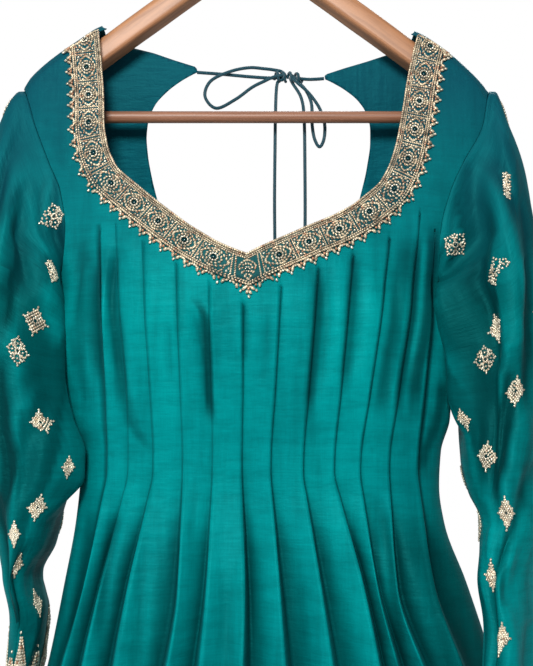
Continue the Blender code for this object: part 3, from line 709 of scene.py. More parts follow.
def cut_panel(X, Y, Z, outline, front):
    """Cloth mesh with the opening cut out: points next to the cut move onto it."""
    rows, count = X.shape
    flat = np.stack([X.ravel(), Z.ravel()], 1)
    ring = np.array(outline, float)
    starts, ends = ring, np.roll(ring, -1, axis=0)
    inside = np.zeros(len(flat), bool)
    for (ax, az), (bx, bz) in zip(starts, ends):
        crosses = (az > flat[:, 1]) != (bz > flat[:, 1])
        with np.errstate(divide="ignore", invalid="ignore"):
            at = (bx - ax) * (flat[:, 1] - az) / (bz - az) + ax
        inside ^= crosses & (flat[:, 0] < at)
    index = np.arange(rows * count).reshape(rows, count)
    quads = np.stack([index[:-1, :-1], index[1:, :-1], index[1:, 1:], index[:-1, 1:]], -1).reshape(-1, 4)
    keep = (~inside[quads]).sum(1) >= 1
    quads = quads[keep]
    used = np.unique(quads)
    move = used[inside[used]]
    if len(move):
        p = flat[move][:, None, :]
        a, b = starts[None], ends[None]
        t = np.clip(((p - a) * (b - a)).sum(-1) / ((b - a) ** 2).sum(-1), 0, 1)
        near = a + (b - a) * t[..., None]
        best = ((p - near) ** 2).sum(-1).argmin(1)
        spot = near[np.arange(len(move)), best]
        shift_y = depth_at(spot[:, 0], spot[:, 1], front) - depth_at(*flat[move].T, front)
        X.ravel()[move] = spot[:, 0]
        Z.ravel()[move] = spot[:, 1]
        Y.ravel()[move] += -shift_y if front else shift_y
    remap = -np.ones(rows * count, int)
    remap[used] = np.arange(len(used))
    points = np.stack([X.ravel()[used], Y.ravel()[used], Z.ravel()[used]], 1) * MM
    faces = remap[quads]
    if not front:
        faces = faces[:, ::-1]
    return points, faces, used


def lay_weave(mesh, weave):
    """The weave coordinates in metres, one for each point of the mesh."""
    layer = mesh.uv_layers.new(name="weave")
    corners = np.empty(len(mesh.loops), int)
    mesh.loops.foreach_get("vertex_index", corners)
    layer.data.foreach_set("uv", np.asarray(weave)[corners].astype(np.float32).ravel())


def grid_mesh(name, points, faces, weave):
    """Piece from arrays, smooth, with its weave coordinates."""
    mesh = bpy.data.meshes.new(name)
    mesh.from_pydata(points.tolist(), [], faces.tolist())
    lay_weave(mesh, weave)
    mesh.shade_smooth()
    return in_scene(name, mesh)


def shade_folds(obj, amount):
    """Painted shade: how deep in a fold each point lies, from 0 to 1, for the silk's colour to be darkened
    by.
    """
    layer = obj.data.attributes.new("fold", "FLOAT", "POINT")
    layer.data.foreach_set("value", np.asarray(amount, np.float32).ravel())


def thicken(obj, thickness):
    wall = obj.modifiers.new("wall", "SOLIDIFY")
    wall.thickness = thickness
    wall.offset = -1.0
    return wall


def silk(name, lit, deep, seed):
    """Dupion silk: thick weft slubs across the cloth, a fine weave, a soft two-tone sheen, and painted shade
    in its folds.
    """
    s = Shader(name)
    weave = s.add("ShaderNodeUVMap", uv_map="weave").outputs[0]
    slubs = s.streaks(weave, (38.0, 900.0), seed, 3.0, 0.6)
    long_slubs = s.streaks(weave, (16.0, 520.0), seed + 4, 2.0, 0.5)
    warp = s.streaks(weave, (1500.0, 60.0), seed + 7, 2.0, 0.5)
    patches = s.streaks(weave, (9.0, 6.0), seed + 2, 3.0, 0.55)
    wrinkles = s.streaks(weave, (34.0, 105.0), seed + 11, 4.0, 0.62)
    crossing = s.streaks(weave, (60.0, 26.0), seed + 15, 4.0, 0.6)
    drawn = s.streaks(weave, (52.0, 5.5), seed + 21, 3.0, 0.55)
    tone = s.mix(s.curve(patches, ((0.3, 0.0), (0.7, 1.0))), deep, lit)
    tone = s.toned(tone, slubs, ((0.34, 0.93), (0.52, 1.0), (0.72, 1.06)))
    tone = s.toned(tone, long_slubs, ((0.62, 1.0), (0.76, 1.10)))
    tone = s.toned(tone, warp, ((0.3, 0.94), (0.7, 1.05)))
    # Painted shade: the tone darkens in the troughs of the wrinkles and of the long drawn streaks, the same
    # patterns that bump the cloth below.
    tone = s.toned(tone, wrinkles, ((0.36, (0.88, 0.89, 0.89)), (0.50, 1.0), (0.66, 1.08)))
    tone = s.toned(tone, drawn, ((0.34, (0.78, 0.80, 0.80)), (0.50, 1.0), (0.70, 1.10)))
    # Painted shade: the tone darkens towards near-black teal by the fold attribute, which holds how much
    # shade each point gets.
    fold = s.add("ShaderNodeAttribute", attribute_name="fold").outputs["Fac"]
    tone = s.mix(s.maths("MULTIPLY", s.maths("MAXIMUM", fold, 0.0), 0.93), tone, (0.0, 0.020, 0.022))
    # Painted shade: the shoulders lie in blue shade, so a duskier blue tone is painted on from 0.40 m to 0.20
    # m under the hook.
    height = s.add("ShaderNodeSeparateXYZ", Vector=s.add("ShaderNodeTexCoord").outputs["Object"]).outputs[2]
    painted_shoulder_shade = s.add("ShaderNodeMapRange", Value=height, From_Min=-0.40, From_Max=-0.20, To_Min=0.0, To_Max=0.95)
    tone = s.mix(painted_shoulder_shade.outputs[0], tone, (0.004, 0.060, 0.092))
    creased = s.bump(wrinkles, 0.60, 0.0017)
    creased = s.bump(crossing, 0.45, 0.0016, creased)
    creased = s.bump(drawn, 0.55, 0.0022, creased)
    woven = s.bump(slubs, 0.16, 0.0003, creased)
    woven = s.bump(warp, 0.15, 0.0001, woven)
    s.finish(
        Base_Color=tone, Normal=woven, Roughness=s.curve(slubs, ((0.3, 0.56), (0.75, 0.42))),
        Specular_IOR_Level=0.24, Specular_Tint=(0.05, 0.80, 0.80, 1.0),
        Sheen_Weight=0.06, Sheen_Roughness=0.45, Sheen_Tint=(0.05, 0.75, 0.8, 1.0),
    )
    return s.material


teal_silk = silk("teal_dupion_silk", (0.0, 0.270, 0.272), (0.0, 0.205, 0.215), 0.0)

# Neckline of the front in mm, from the left shoulder down to the point and up.
NECKLINE = (
    (-137, -140), (-137, -147), (-133, -184), (-130, -214), (-128, -246), (-123, -268), (-115, -284),
    (-99, -298), (-84, -311), (-73, -320), (-54, -335), (-32, -349), (-17, -356), (-6, -360),
    (5, -354), (18, -348), (42, -337), (63, -328), (81, -318), (90, -310), (104, -298), (113, -281),
    (119, -263), (123, -245), (127, -225), (131, -202), (135, -183), (143, -152), (143, -140),
)
NECK_POINT = 13


def spaced(path, count):
    """Points at even spacing along a path."""
    path = np.array(path, float)
    steps = np.r_[0.0, np.cumsum(np.linalg.norm(np.diff(path, axis=0), axis=1))]
    goals = np.linspace(0, steps[-1], count)
    return np.stack([np.interp(goals, steps, path[:, k]) for k in range(path.shape[1])], 1)


def softened(path, count, rounds=6):
    """The same path with its corners eased, ends kept."""
    path = spaced(path, count)
    for _ in range(rounds):
        path[1:-1] = 0.25 * path[:-2] + 0.5 * path[1:-1] + 0.25 * path[2:]
    return path


neck_left = softened(NECKLINE[: NECK_POINT + 1], 120)
neck_right = softened(NECKLINE[NECK_POINT:], 120)
neck_path = np.vstack([neck_left, neck_right[1:]])
neck_hole = [(-137, -60)] + [tuple(p) for p in neck_path] + [(143, -60)]

X, Y, Z, painted_shade = panel_grid(FRONT_PLEATS, FRONT_CREASES, True)
points, faces, used = cut_panel(X, Y, Z, neck_hole, True)
front = grid_mesh("front_panel", points, faces, points[:, [0, 2]])
shade_folds(front, painted_shade.ravel()[used])
front.data.materials.append(teal_silk)
front_tree = BVHTree.FromPolygons(points.tolist(), faces.tolist())
thicken(front, CLOTH)
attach(front, "root")
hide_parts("front")

# ---------------------------------------------------------------------------
# The back: the same silk and pleats, cut away in a large rounded opening. Its
# two upper ends narrow to points, where the ties are sewn.

KEYHOLE_LEFT = (
    (-137, -60), (-137, -140), (-133, -152), (-112, -158), (-92, -163), (-72, -170), (-53, -176),
    (-52, -180.5),
    (-57, -183), (-66, -188), (-77, -196), (-89, -208), (-96, -222), (-98, -240), (-96, -260), (-92, -280),
    (-86, -303), (-76, -328), (-60, -355), (-38, -379), (-14, -391), (0, -393),
)
KEYHOLE_RIGHT = (
    (0, -393), (14, -391), (38, -380), (60, -357), (80, -328), (92, -300), (99, -272), (103, -248),
    (103, -228),
    (98, -214), (90, -204), (78, -195), (68, -189.5), (62.5, -187), (62, -183), (80, -177), (100, -171),
    (121, -164), (138, -157), (143, -145), (143, -60),
)
back_hole = [tuple(p) for p in np.vstack([
    spaced(KEYHOLE_LEFT[:8], 60), softened(KEYHOLE_LEFT[8:], 110, 4),
    softened(KEYHOLE_RIGHT[:13], 110, 4)[1:], spaced(KEYHOLE_RIGHT[13:], 60),
])]
X, Y, Z, painted_shade = panel_grid(BACK_PLEATS, BACK_CREASES, False)
points, faces, used = cut_panel(X, Y, Z, back_hole, False)
back = grid_mesh("back_panel", points, faces, points[:, [0, 2]])
shade_folds(back, painted_shade.ravel()[used])
back.data.materials.append(teal_silk)
# Painted shade: the inside of the back, seen through the neck opening, is a darker and bluer copy of the
# silk, for the light it is hidden from.
shaded_inside_silk = silk("teal_silk_inside_painted_shade", (0.0, 0.165, 0.205), (0.0, 0.115, 0.150), 9.0)
back.data.materials.append(shaded_inside_silk)
wall = thicken(back, CLOTH)
wall.material_offset = 1
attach(back, "root")
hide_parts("back")

# ---------------------------------------------------------------------------
# The sleeves: long, narrowing to the wrist, sewn into the armholes. They hang
# almost edge on, the left one beside the skirt and the right one before it.

SLEEVE_LEAN = (
    # inner x, inner z, outer x, outer z, half depth
    (171, -389, 221, -236, 34),
    (170, -403, 234, -284, 45),
    (173, -422, 241, -345, 54),
    (176, -450, 241, -412, 60),
)
SLEEVE_LEFT = (
    # z, middle x, middle y, half thickness, half depth, turn in degrees
    (-492, -201, -8, 36, 60, 0),
    (-520, -192, -10, 37, 60, 0),
    (-545, -189, -12, 34, 59, 0),
    (-572, -189, -14, 27, 58, 0),
    (-596, -188, -16, 20, 56, 0),
    (-618, -190, -18, 12, 54, 0),
    (-650, -184, -18, 12.5, 52, 0),
    (-686, -186, -18, 11.5, 50, 0),
    (-725, -198, -18, 12, 49, 0),
    (-775, -213, -18, 13, 48, 0),
)
SLEEVE_RIGHT = (
    (-492, 207, -12, 35, 60, 5),
    (-526, 205, -22, 33, 59, 10),
    (-552, 207, -30, 30, 58, 16),
    (-572, 211, -38, 26, 56, 20),
    (-596, 207, -48, 23, 55, 24),
    (-620, 202, -56, 21, 54, 26),
    (-650, 203, -68, 19, 52, 28),
    (-686, 199, -80, 18, 50, 30),
    (-725, 200, -90, 17, 49, 30),
    (-775, 203, -100, 17, 48, 30),
)
SLEEVE_AROUND, SLEEVE_ALONG = 96, 170
ROUND_MM, LONG_MM = 400.0, 570.0  # the sleeve opened flat, for the spacing of its wrinkles


def armhole_ring(side, out):
    turn = np.linspace(0, 2 * math.pi, SLEEVE_AROUND, endpoint=False)
    z = -293.0 + 88.0 * np.cos(turn)
    x = edge_at[side](z) * side
    y = np.where(np.sin(turn) > 0, -depth_at(x, z, True), depth_at(x, z, False))
    y = y * np.minimum(np.abs(np.sin(turn)) * 2.6, 1.0)
    return np.stack([x + side * out, y, z], 1)


def sleeve_rings(side):
    """Rings from the armhole to the wrist, in mm."""
    turn = np.linspace(0, 2 * math.pi, SLEEVE_AROUND, endpoint=False)
    rings = [armhole_ring(side, 0.3), armhole_ring(side, 5.0)]
    for inner_x, inner_z, outer_x, outer_z, deep in SLEEVE_LEAN:
        share = 0.5 + 0.5 * np.cos(turn)
        x = inner_x + (outer_x - inner_x) * share
        z = inner_z + (outer_z - inner_z) * share
        rings.append(np.stack([side * x, -deep * np.sin(turn) - 4.0, z], 1))
    for z, mid_x, mid_y, thick, deep, degrees in SLEEVE_LEFT if side < 0 else SLEEVE_RIGHT:
        angle = math.radians(degrees)
        u, v = thick * np.cos(turn), -deep * np.sin(turn)
        x = u * math.cos(angle) + v * math.sin(angle)
        y = v * math.cos(angle) - u * math.sin(angle)
        rings.append(np.stack([mid_x + side * x, mid_y + y, np.full_like(x, z)], 1))
    return rings


def along_rings(rings, count):
    """Many rings on smooth curves through the given ones, evenly spaced."""
    middles = np.array([ring.mean(0) for ring in rings])
    steps = np.r_[0.0, np.cumsum(np.linalg.norm(np.diff(middles, axis=0), axis=1))]
    steps = steps + np.arange(len(rings)) * 4.0
    goals = np.linspace(0, steps[-1], count)
    stack = np.array(rings)
    out = np.zeros((count,) + stack.shape[1:])
    for column in range(stack.shape[1]):
        for axis in range(3):
            out[:, column, axis] = through(list(zip(steps, stack[:, column, axis])))(goals)
    return out


# Creases of a sleeve: where it starts, round the sleeve (0 is the outer fold,
# a quarter the front) and down it, where it ends, how wide and how deep it is.
SLEEVE_CREASES = {
    -1: (
        (0.16, 0.02, 0.20, 0.22, 0.030, 4.0), (0.30, 0.05, 0.26, 0.30, 0.035, 4.5),
        (0.08, 0.18, 0.17, 0.46, 0.035, 5.0), (0.27, 0.28, 0.20, 0.62, 0.040, 5.0),
        (0.36, 0.30, 0.33, 0.55, 0.035, -3.0), (0.13, 0.50, 0.24, 0.80, 0.035, 4.0),
        (0.33, 0.62, 0.18, 0.98, 0.035, 4.0), (0.66, 0.05, 0.72, 0.40, 0.045, 5.0),
        (0.80, 0.25, 0.70, 0.65, 0.045, 5.0), (0.62, 0.55, 0.76, 0.95, 0.040, 4.0),
        (0.90, 0.10, 0.86, 0.50, 0.035, 4.0),
    ),
    1: (
        (0.20, 0.02, 0.16, 0.20, 0.030, 4.0), (0.32, 0.04, 0.30, 0.34, 0.035, 4.5),
        (0.10, 0.10, 0.20, 0.42, 0.035, 4.5), (0.24, 0.30, 0.31, 0.60, 0.040, 6.0),
        (0.37, 0.38, 0.29, 0.66, 0.030, -3.0), (0.12, 0.48, 0.27, 0.72, 0.035, 4.5),
        (0.30, 0.64, 0.14, 0.88, 0.030, 3.5), (0.18, 0.75, 0.33, 0.97, 0.035, 3.5),
        (0.68, 0.05, 0.76, 0.42, 0.045, 5.0), (0.83, 0.30, 0.68, 0.66, 0.045, 5.0),
        (0.60, 0.55, 0.74, 0.95, 0.040, 4.0), (0.91, 0.10, 0.88, 0.50, 0.035, 4.0),
    ),
}


# Long folds on the front of each sleeve, in mm: the places of the fold's edge,
# the side that sinks behind it (1 is the right, 0 both), how far, how deep and
# how dark the painted shade behind the fold is.
SLEEVE_FOLDS = {
    -1: (
        (((-171, -272), (-173, -300), (-174, -322), (-172, -346)), 1, 15, 4.0, 0.55),
        (((-157, -318), (-163, -342), (-161, -380)), 0, 8, 5.5, 0.95),
        (((-166, -392), (-163, -444), (-158, -493), (-151, -540)), 1, 12, 3.0, 0.60),
        (((-182, -440), (-176, -480), (-174, -520), (-180, -565)), -1, 14, 4.0, 0.50),
        (((-190, -290), (-191, -340), (-188, -400)), -1, 9, 3.0, 0.45),
        (((-171, -595), (-175, -640), (-173, -700)), 1, 12, 3.0, 0.65),
        (((-180, -370), (-172, -410), (-172, -450)), 0, 6, 2.5, 0.45),
    ),
    1: (
        (((208, -345), (203, -421), (194, -478), (187, -520), (179, -574)), -1, 30, 6.0, 0.72),
        (((165, -285), (172, -337), (177, -374), (182, -415), (184, -456)), 1, 30, 5.0, 0.62),
        (((176, -262), (186, -300), (190, -345), (186, -385)), 0, 7, 3.5, 0.55),
        (((170, -300), (166, -335), (168, -372)), 0, 5, 2.0, 0.40),
        (((215, -560), (200, -610), (186, -640)), 0, 7, 3.0, 0.40),
        (((186, -600), (181, -650), (178, -700)), -1, 12, 3.0, 0.45),
        (((212, -640), (204, -680), (192, -710)), 0, 6, 3.0, 0.40),
    ),
}
# Painted shadows on the front of each sleeve, in mm: the places they run through, half width, how dark.
SLEEVE_SHADOWS = {
    -1: (
        (((-166, -325), (-165, -337), (-166, -356), (-162, -385)), 10.0, 0.98),
        (((-196, -300), (-195, -330), (-194, -368), (-191, -420), (-186, -451), (-184, -500)), 8.0, 0.85),
        (((-162, -372), (-164, -402), (-163, -427), (-158, -451), (-153, -493), (-149, -530)), 5.5, 0.85),
        (((-172, -280), (-179, -298), (-180, -323), (-176, -344), (-173, -365)), 3.2, 0.70),
        (((-154, -476), (-150, -513), (-158, -545), (-163, -570)), 8.0, 0.70),
        (((-185, -476), (-181, -522), (-183, -569), (-186, -600)), 7.0, 0.65),
        (((-177, -585), (-174, -640), (-171, -700), (-172, -740)), 8.5, 0.88),
        (((-190, -640), (-186, -680), (-188, -715)), 5.0, 0.45),
    ),
    1: (
        (
            ((186, -252), (184, -294), (188, -330), (189, -358), (188, -394), (187, -434), (186, -464),
             (178, -494), (170, -515), (166, -544), (168, -600)),
            14.0, 0.90,
        ),
        (((155, -372), (155, -382), (159, -406), (160, -434), (159, -475)), 4.5, 0.85),
        (((158, -350), (163, -372), (166, -392)), 2.5, 0.60),
        (((222, -300), (226, -340), (226, -380)), 5.0, 0.55),
        (((196, -560), (190, -600), (186, -640)), 4.0, 0.50),
        (((178, -600), (176, -650), (178, -700)), 5.0, 0.60),
    ),
}
# How far a sleeve presses into the side of the bodice, in mm, down its length.
overlap_at = {
    -1: through((
        (-338, 0), (-375, 15), (-390, 18), (-410, 20), (-450, 23), (-492, 19), (-540, 17), (-560, 6),
        (-575, 0),
    )),
    1: through(((-338, 0), (-362, 15), (-382, 28), (-410, 27), (-450, 23), (-485, 11), (-505, 0))),
}


def crumpled(grid, side):
    """The sleeve with its soft creases, moved along the cloth's own normal; also the normals and the painted
    shade of each point, from 0 to 1.
    """
    rows, around, _ = grid.shape
    down = np.gradient(grid, axis=0)
    round_ = np.roll(grid, -1, 1) - np.roll(grid, 1, 1)
    normal = np.cross(round_, down)
    normal /= np.linalg.norm(normal, axis=2, keepdims=True) + 1e-9
    outwards = np.sign((normal * (grid - grid.mean(1, keepdims=True))).sum())
    normal *= outwards
    share = np.linspace(0, 1, rows)[:, None]
    turn = (np.arange(around) / around)[None, :]
    move = np.zeros((rows, around))
    for t0, v0, t1, v1, wide, deep in SLEEVE_CREASES[side]:
        t = np.clip((share - v0) / (v1 - v0), 0, 1)
        middle = t0 + (t1 - t0) * t
        off = (turn - middle + 0.5) % 1.0 - 0.5
        move -= 1.5 * deep * np.sin(math.pi * t) ** 0.7 * np.exp(-((off / wide) ** 2))
    flat_x, flat_z = np.broadcast_arrays(turn * ROUND_MM, share * LONG_MM)
    wave = ripple(flat_x, flat_z, 31 + side, 100, 150)
    ends = ease(share / 0.04) * ease((1 - share) / 0.03)
    fine = ripple(flat_x, flat_z, 41 + side, 45, 60)
    # Painted shade: sunk creases and the troughs of the ripples are darkened.
    shade = np.clip(-move / 6.5 - 0.25 * wave - 0.15 * fine, 0, 0.9)
    x, y, z = grid[..., 0], grid[..., 1], grid[..., 2]
    faces_out = ease((-normal[..., 1] - 0.1) / 0.4)
    # Painted shade behind each long fold, on the cloth that faces the front.
    for places, sinks, wide, deep, dark in SLEEVE_FOLDS[side]:
        off = x - line_through(places)(z)
        run = along_line(places, z, 0.2, 0.2) * faces_out
        if sinks:
            sunk = ease(sinks * off / 2.2) * (1 - ease((sinks * off - 0.35 * wide) / (0.65 * wide)))
        else:
            sunk = np.exp(-((off / wide) ** 2))
        move -= deep * sunk * run
        shade = np.maximum(shade, dark * sunk * run)
    # Painted shade in crisp patches from a ripple, and a base of painted shade over the whole sleeve; the
    # right sleeve's lower front is painted as lit, with less of all of it.
    patches = ripple(flat_x, flat_z, 61 + side, 70, 210)
    lit = faces_out * ease((-530 - z) / 60) * (side > 0)
    shade = np.maximum(shade, 0.55 * ease((patches - 0.05) / 0.40) * ease(share / 0.08) * (1 - 0.6 * lit))
    shade = np.clip(0.22 * (1 - lit) + (1 - 0.35 * lit) * shade, 0, 1)
    # Painted shadows from SLEEVE_SHADOWS, on the cloth that faces the front.
    cast = shadow_at(SLEEVE_SHADOWS[side], x, z) * faces_out
    shade = np.maximum(shade, cast)
    move -= 3.0 * cast
    moved = grid + normal * ((move + 1.6 * wave + 0.5 * fine) * ends)[..., None]
    inner = -side * (x - grid[..., 0].mean(1, keepdims=True)) > 0
    moved[..., 0] -= side * overlap_at[side](z) * np.exp(-(((y + 34) / 22) ** 2)) * inner
    return moved, normal, shade


def tube_faces(rows, around, flip):
    index = np.arange(rows * around).reshape(rows, around)
    after = np.roll(index, -1, 1)
    quads = np.stack([index[:-1], index[1:], after[1:], after[:-1]], -1).reshape(-1, 4)
    return quads[:, ::-1] if flip else quads


sleeves, sleeve_trees, sleeve_grids = {}, {}, {}
for side, word in ((-1, "left"), (1, "right")):
    grid, normal, shade = crumpled(along_rings(sleeve_rings(side), SLEEVE_ALONG), side)
    sleeve_grids[side] = (grid, normal)
    points = grid.reshape(-1, 3) * MM
    faces = tube_faces(SLEEVE_ALONG, SLEEVE_AROUND, side > 0)
    turn = np.tile(np.abs((np.arange(SLEEVE_AROUND) / SLEEVE_AROUND + 0.25) % 1.0 - 0.5) * 0.30, SLEEVE_ALONG)
    weave = np.stack([turn + side, np.repeat(np.linspace(0, -0.57, SLEEVE_ALONG), SLEEVE_AROUND)], 1)
    sleeve = grid_mesh("sleeve_of_the_" + word, points, faces, weave)
    sleeve.data.materials.append(teal_silk)
    shade_folds(sleeve, shade)
    sleeve_trees[side] = BVHTree.FromPolygons(points.tolist(), faces.tolist())
    thicken(sleeve, CLOTH)
    sleeves[side] = sleeve
    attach(sleeve, "root")
    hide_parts("sleeve_" + word)

# ---------------------------------------------------------------------------
# The neck border: a band of metal-thread embroidery on teal silk, sewn flat
# round the front neckline. Corded edges, twenty panels that each hold a ringed
# eye, and an outer edge of small three-beaded points.


def along_neck(s):
    """Neckline point, outward direction and run at s mm from the point of the neck; left is negative.

    The outward direction is lengthened towards the point, so that the band meets itself in a mitre.
    """
    half = neck_left[::-1] if s < 0 else neck_right
    steps = NECK_STEPS[-1 if s < 0 else 1]
    goal = min(abs(s), steps[-1] - 0.01)
    spot = np.array([np.interp(goal, steps, half[:, k]) for k in (0, 1)])
    ahead = np.array([np.interp(min(goal + 5.0, steps[-1]), steps, half[:, k]) for k in (0, 1)])
    behind = np.array([np.interp(max(goal - 5.0, 0.0), steps, half[:, k]) for k in (0, 1)])
    run = (ahead - behind) / np.linalg.norm(ahead - behind)
    away = np.array([run[1], -run[0]]) * (1 if s < 0 else -1)
    if away @ np.array([1.0 if s > 0 else -1.0, -0.6]) < 0:
        away = -away
    mitre = np.array([0.05, -1.0])
    if goal < MITRE_REACH:
        away = away + (mitre / max(mitre @ away, 0.5) - away) * float(
            ease((MITRE_REACH - goal) / MITRE_REACH)
        )
    return spot, away, run * (-1 if s < 0 else 1)


MITRE_REACH = 24.0
NECK_STEPS = {}
for side, half in ((-1, neck_left[::-1]), (1, neck_right)):
    NECK_STEPS[side] = np.r_[0.0, np.cumsum(np.linalg.norm(np.diff(half, axis=0), axis=1))]
LEFT_END, RIGHT_END = -float(NECK_STEPS[-1][-1]) + 9.0, float(NECK_STEPS[1][-1]) - 14.0


def on_border(s, w, lift=0.0):
    """Place on the border in mm, its outward normal and its direction along the neck."""
    spot, away, run = along_neck(s)
    x, z = spot + away * w
    z = min(z, float(ridge_at(x)) - 9.0)
    found = front_tree.ray_cast(Vector((x * MM, -0.4, z * MM)), Vector((0, 1, 0)), 0.5)
    spare = Vector((x * MM, -float(depth_at(x, z)) * MM, z * MM))
    base = found[0] if found[0] is not None and found[0].y < 0.0 else spare
    wide = float(full_width[1 if x > 0 else -1](z))
    step = 6.0
    slope_x = float(depth_at(min(x + step, wide - 1), z) - depth_at(max(x - step, 1 - wide), z)) / (2 * step)
    slope_z = float(depth_at(x, z + step) - depth_at(x, z - step)) / (2 * step)
    normal = Vector((-slope_x, -1.0, -slope_z)).normalized()
    return np.array(base) / MM + np.array(normal) * lift, np.array(normal), run


def zari(name, bright, dull, copper, roughness, seed):
    """Metal thread: pale gold with dull and coppery turns, broken up bead by bead."""
    s = Shader(name)
    here = s.add("ShaderNodeTexCoord").outputs["Object"]
    cells = s.add("ShaderNodeTexVoronoi", Vector=here, Scale=430.0 + seed)
    shade = s.add("ShaderNodeSeparateColor", Color=cells.outputs["Color"])
    tone = s.curve(shade.outputs[0], ((0.0, dull), (0.34, bright), (0.80, bright), (1.0, copper)))
    worn = s.noise(here, 90.0, 3.0, 0.6)
    tone = s.toned(tone, worn, ((0.35, (0.62, 0.60, 0.58)), (0.60, (1.05, 1.04, 1.02))))
    turns = s.noise(here, 1700.0, 2.0, 0.6)
    s.finish(Base_Color=tone, Normal=s.bump(turns, 0.6, 0.0004), Metallic=0.50, Roughness=roughness)
    return s.material


pale_zari = zari("pale_gold_thread", (0.92, 0.77, 0.55), (0.36, 0.27, 0.18), (0.62, 0.33, 0.20), 0.34, 0.0)
bright_zari = zari(
    "bright_silver_gold", (1.0, 0.93, 0.76), (0.62, 0.52, 0.36), (0.90, 0.72, 0.52), 0.26, 37.0,
)
copper_zari = zari("coppery_thread", (0.62, 0.33, 0.20), (0.28, 0.13, 0.08), (0.75, 0.42, 0.26), 0.34, 71.0)
teal_stone = plain("dark_teal_stone", (0.0, 0.045, 0.055), 0.12, 0.0, 0.8)


def bead_shape(name, around=6, rings=3, flat=1.0):
    """A small bead of a few dozen faces, one unit long each way."""
    work = bmesh.new()
    bmesh.ops.create_uvsphere(work, u_segments=around, v_segments=rings, radius=0.5)
    for vert in work.verts:
        vert.co.z *= flat
    mesh = bpy.data.meshes.new(name)
    work.to_mesh(mesh)
    work.free()
    mesh.shade_smooth()
    return bpy.data.objects.new(name, mesh)


def sewing_tree(name):
    """Nodes that set one bead on every point, lying along its direction and facing out of the cloth."""
    tree = bpy.data.node_groups.new(name, "GeometryNodeTree")
    for word, kind in (
        ("Geometry", "Geometry"), ("Bead", "Object"), ("Thread", "Material"), ("Unevenness", "Float"),
    ):
        tree.interface.new_socket(word, in_out="INPUT", socket_type="NodeSocket" + kind)
    tree.interface.new_socket("Geometry", in_out="OUTPUT", socket_type="NodeSocketGeometry")
    into, out = tree.nodes.new("NodeGroupInput"), tree.nodes.new("NodeGroupOutput")
    bead = tree.nodes.new("GeometryNodeObjectInfo")
    spread = tree.nodes.new("GeometryNodeInstanceOnPoints")
    real = tree.nodes.new("GeometryNodeRealizeInstances")
    paint = tree.nodes.new("GeometryNodeSetMaterial")
    names = {}
    for word in ("facing", "along", "size"):
        node = tree.nodes.new("GeometryNodeInputNamedAttribute")
        node.data_type = "FLOAT_VECTOR"
        node.inputs[0].default_value = word
        names[word] = node.outputs[0]
    face = tree.nodes.new("FunctionNodeAlignRotationToVector")
    face.axis = "Z"
    lie = tree.nodes.new("FunctionNodeAlignRotationToVector")
    lie.axis = "X"
    lie.pivot_axis = "Z"
    jitter = tree.nodes.new("FunctionNodeRandomValue")
    jitter.data_type = "FLOAT_VECTOR"
    jitter.inputs["Seed"].default_value = 4
    wobble = tree.nodes.new("ShaderNodeVectorMath")
    wobble.operation = "SCALE"
    turned = tree.nodes.new("FunctionNodeRotateRotation")
    turned.rotation_space = "LOCAL"
    to_turn = tree.nodes.new("FunctionNodeEulerToRotation")
    link = tree.links.new
    jitter.inputs[0].default_value = (-1, -1, -1)
    jitter.inputs[1].default_value = (1, 1, 1)
    link(names["facing"], face.inputs["Vector"])
    link(face.outputs[0], lie.inputs["Rotation"])
    link(names["along"], lie.inputs["Vector"])
    link(jitter.outputs[0], wobble.inputs[0])
    link(into.outputs["Unevenness"], wobble.inputs["Scale"])
    link(wobble.outputs[0], to_turn.inputs[0])
    link(lie.outputs[0], turned.inputs[0])
    link(to_turn.outputs[0], turned.inputs[1])
    link(into.outputs["Bead"], bead.inputs["Object"])
    link(into.outputs["Geometry"], spread.inputs["Points"])
    link(bead.outputs["Geometry"], spread.inputs["Instance"])
    link(turned.outputs[0], spread.inputs["Rotation"])
    link(names["size"], spread.inputs["Scale"])
    link(spread.outputs[0], real.inputs[0])
    link(real.outputs[0], paint.inputs["Geometry"])
    link(into.outputs["Thread"], paint.inputs["Material"])
    link(paint.outputs[0], out.inputs[0])
    return tree


SEW_ON = sewing_tree("sew_beads_on")
bead, seed_bead = bead_shape("coil_bead"), bead_shape("seed_bead", 6, 4)
sequin = bead_shape("sequin", 8, 2, 0.5)


def sewn(name, stitches, shape, thread, uneven=0.12):
    """One mesh of beads. Each stitch is a place in mm, a facing, a direction and a size in mm."""
    points = bpy.data.meshes.new(name + "_places")
    points.from_pydata([tuple(c * MM for c in stitch[0]) for stitch in stitches], [], [])
    for k, word in ((1, "facing"), (2, "along"), (3, "size")):
        layer = points.attributes.new(word, "FLOAT_VECTOR", "POINT")
        scale = MM if word == "size" else 1.0
        values = np.array([stitch[k] for stitch in stitches], np.float32) * scale
        layer.data.foreach_set("vector", values.ravel())
    holder = in_scene(name + "_places", points)
    sew = holder.modifiers.new("sew", "NODES")
    sew.node_group = SEW_ON
    asked = {"Bead": shape, "Thread": thread, "Unevenness": uneven}
    for item in SEW_ON.interface.items_tree:
        if item.in_out == "INPUT" and item.name in asked:
            sew[item.identifier] = asked[item.name]
    return finished_mesh(holder, thread)


def joined(name, meshes):
    """The meshes in one object, each with its own material."""
    work = bmesh.new()
    ranges = []
    for mesh in meshes:
        before = len(work.faces)
        work.from_mesh(mesh)
        ranges.append((before, len(work.faces)))
    work.faces.ensure_lookup_table()
    for index, (start, end) in enumerate(ranges):
        for k in range(start, end):
            work.faces[k].material_index = index
    whole = bpy.data.meshes.new(name)
    work.to_mesh(whole)
    work.free()
    for mesh in meshes:
        whole.materials.append(mesh.materials[0])
    whole.shade_smooth()
    return in_scene(name, whole)


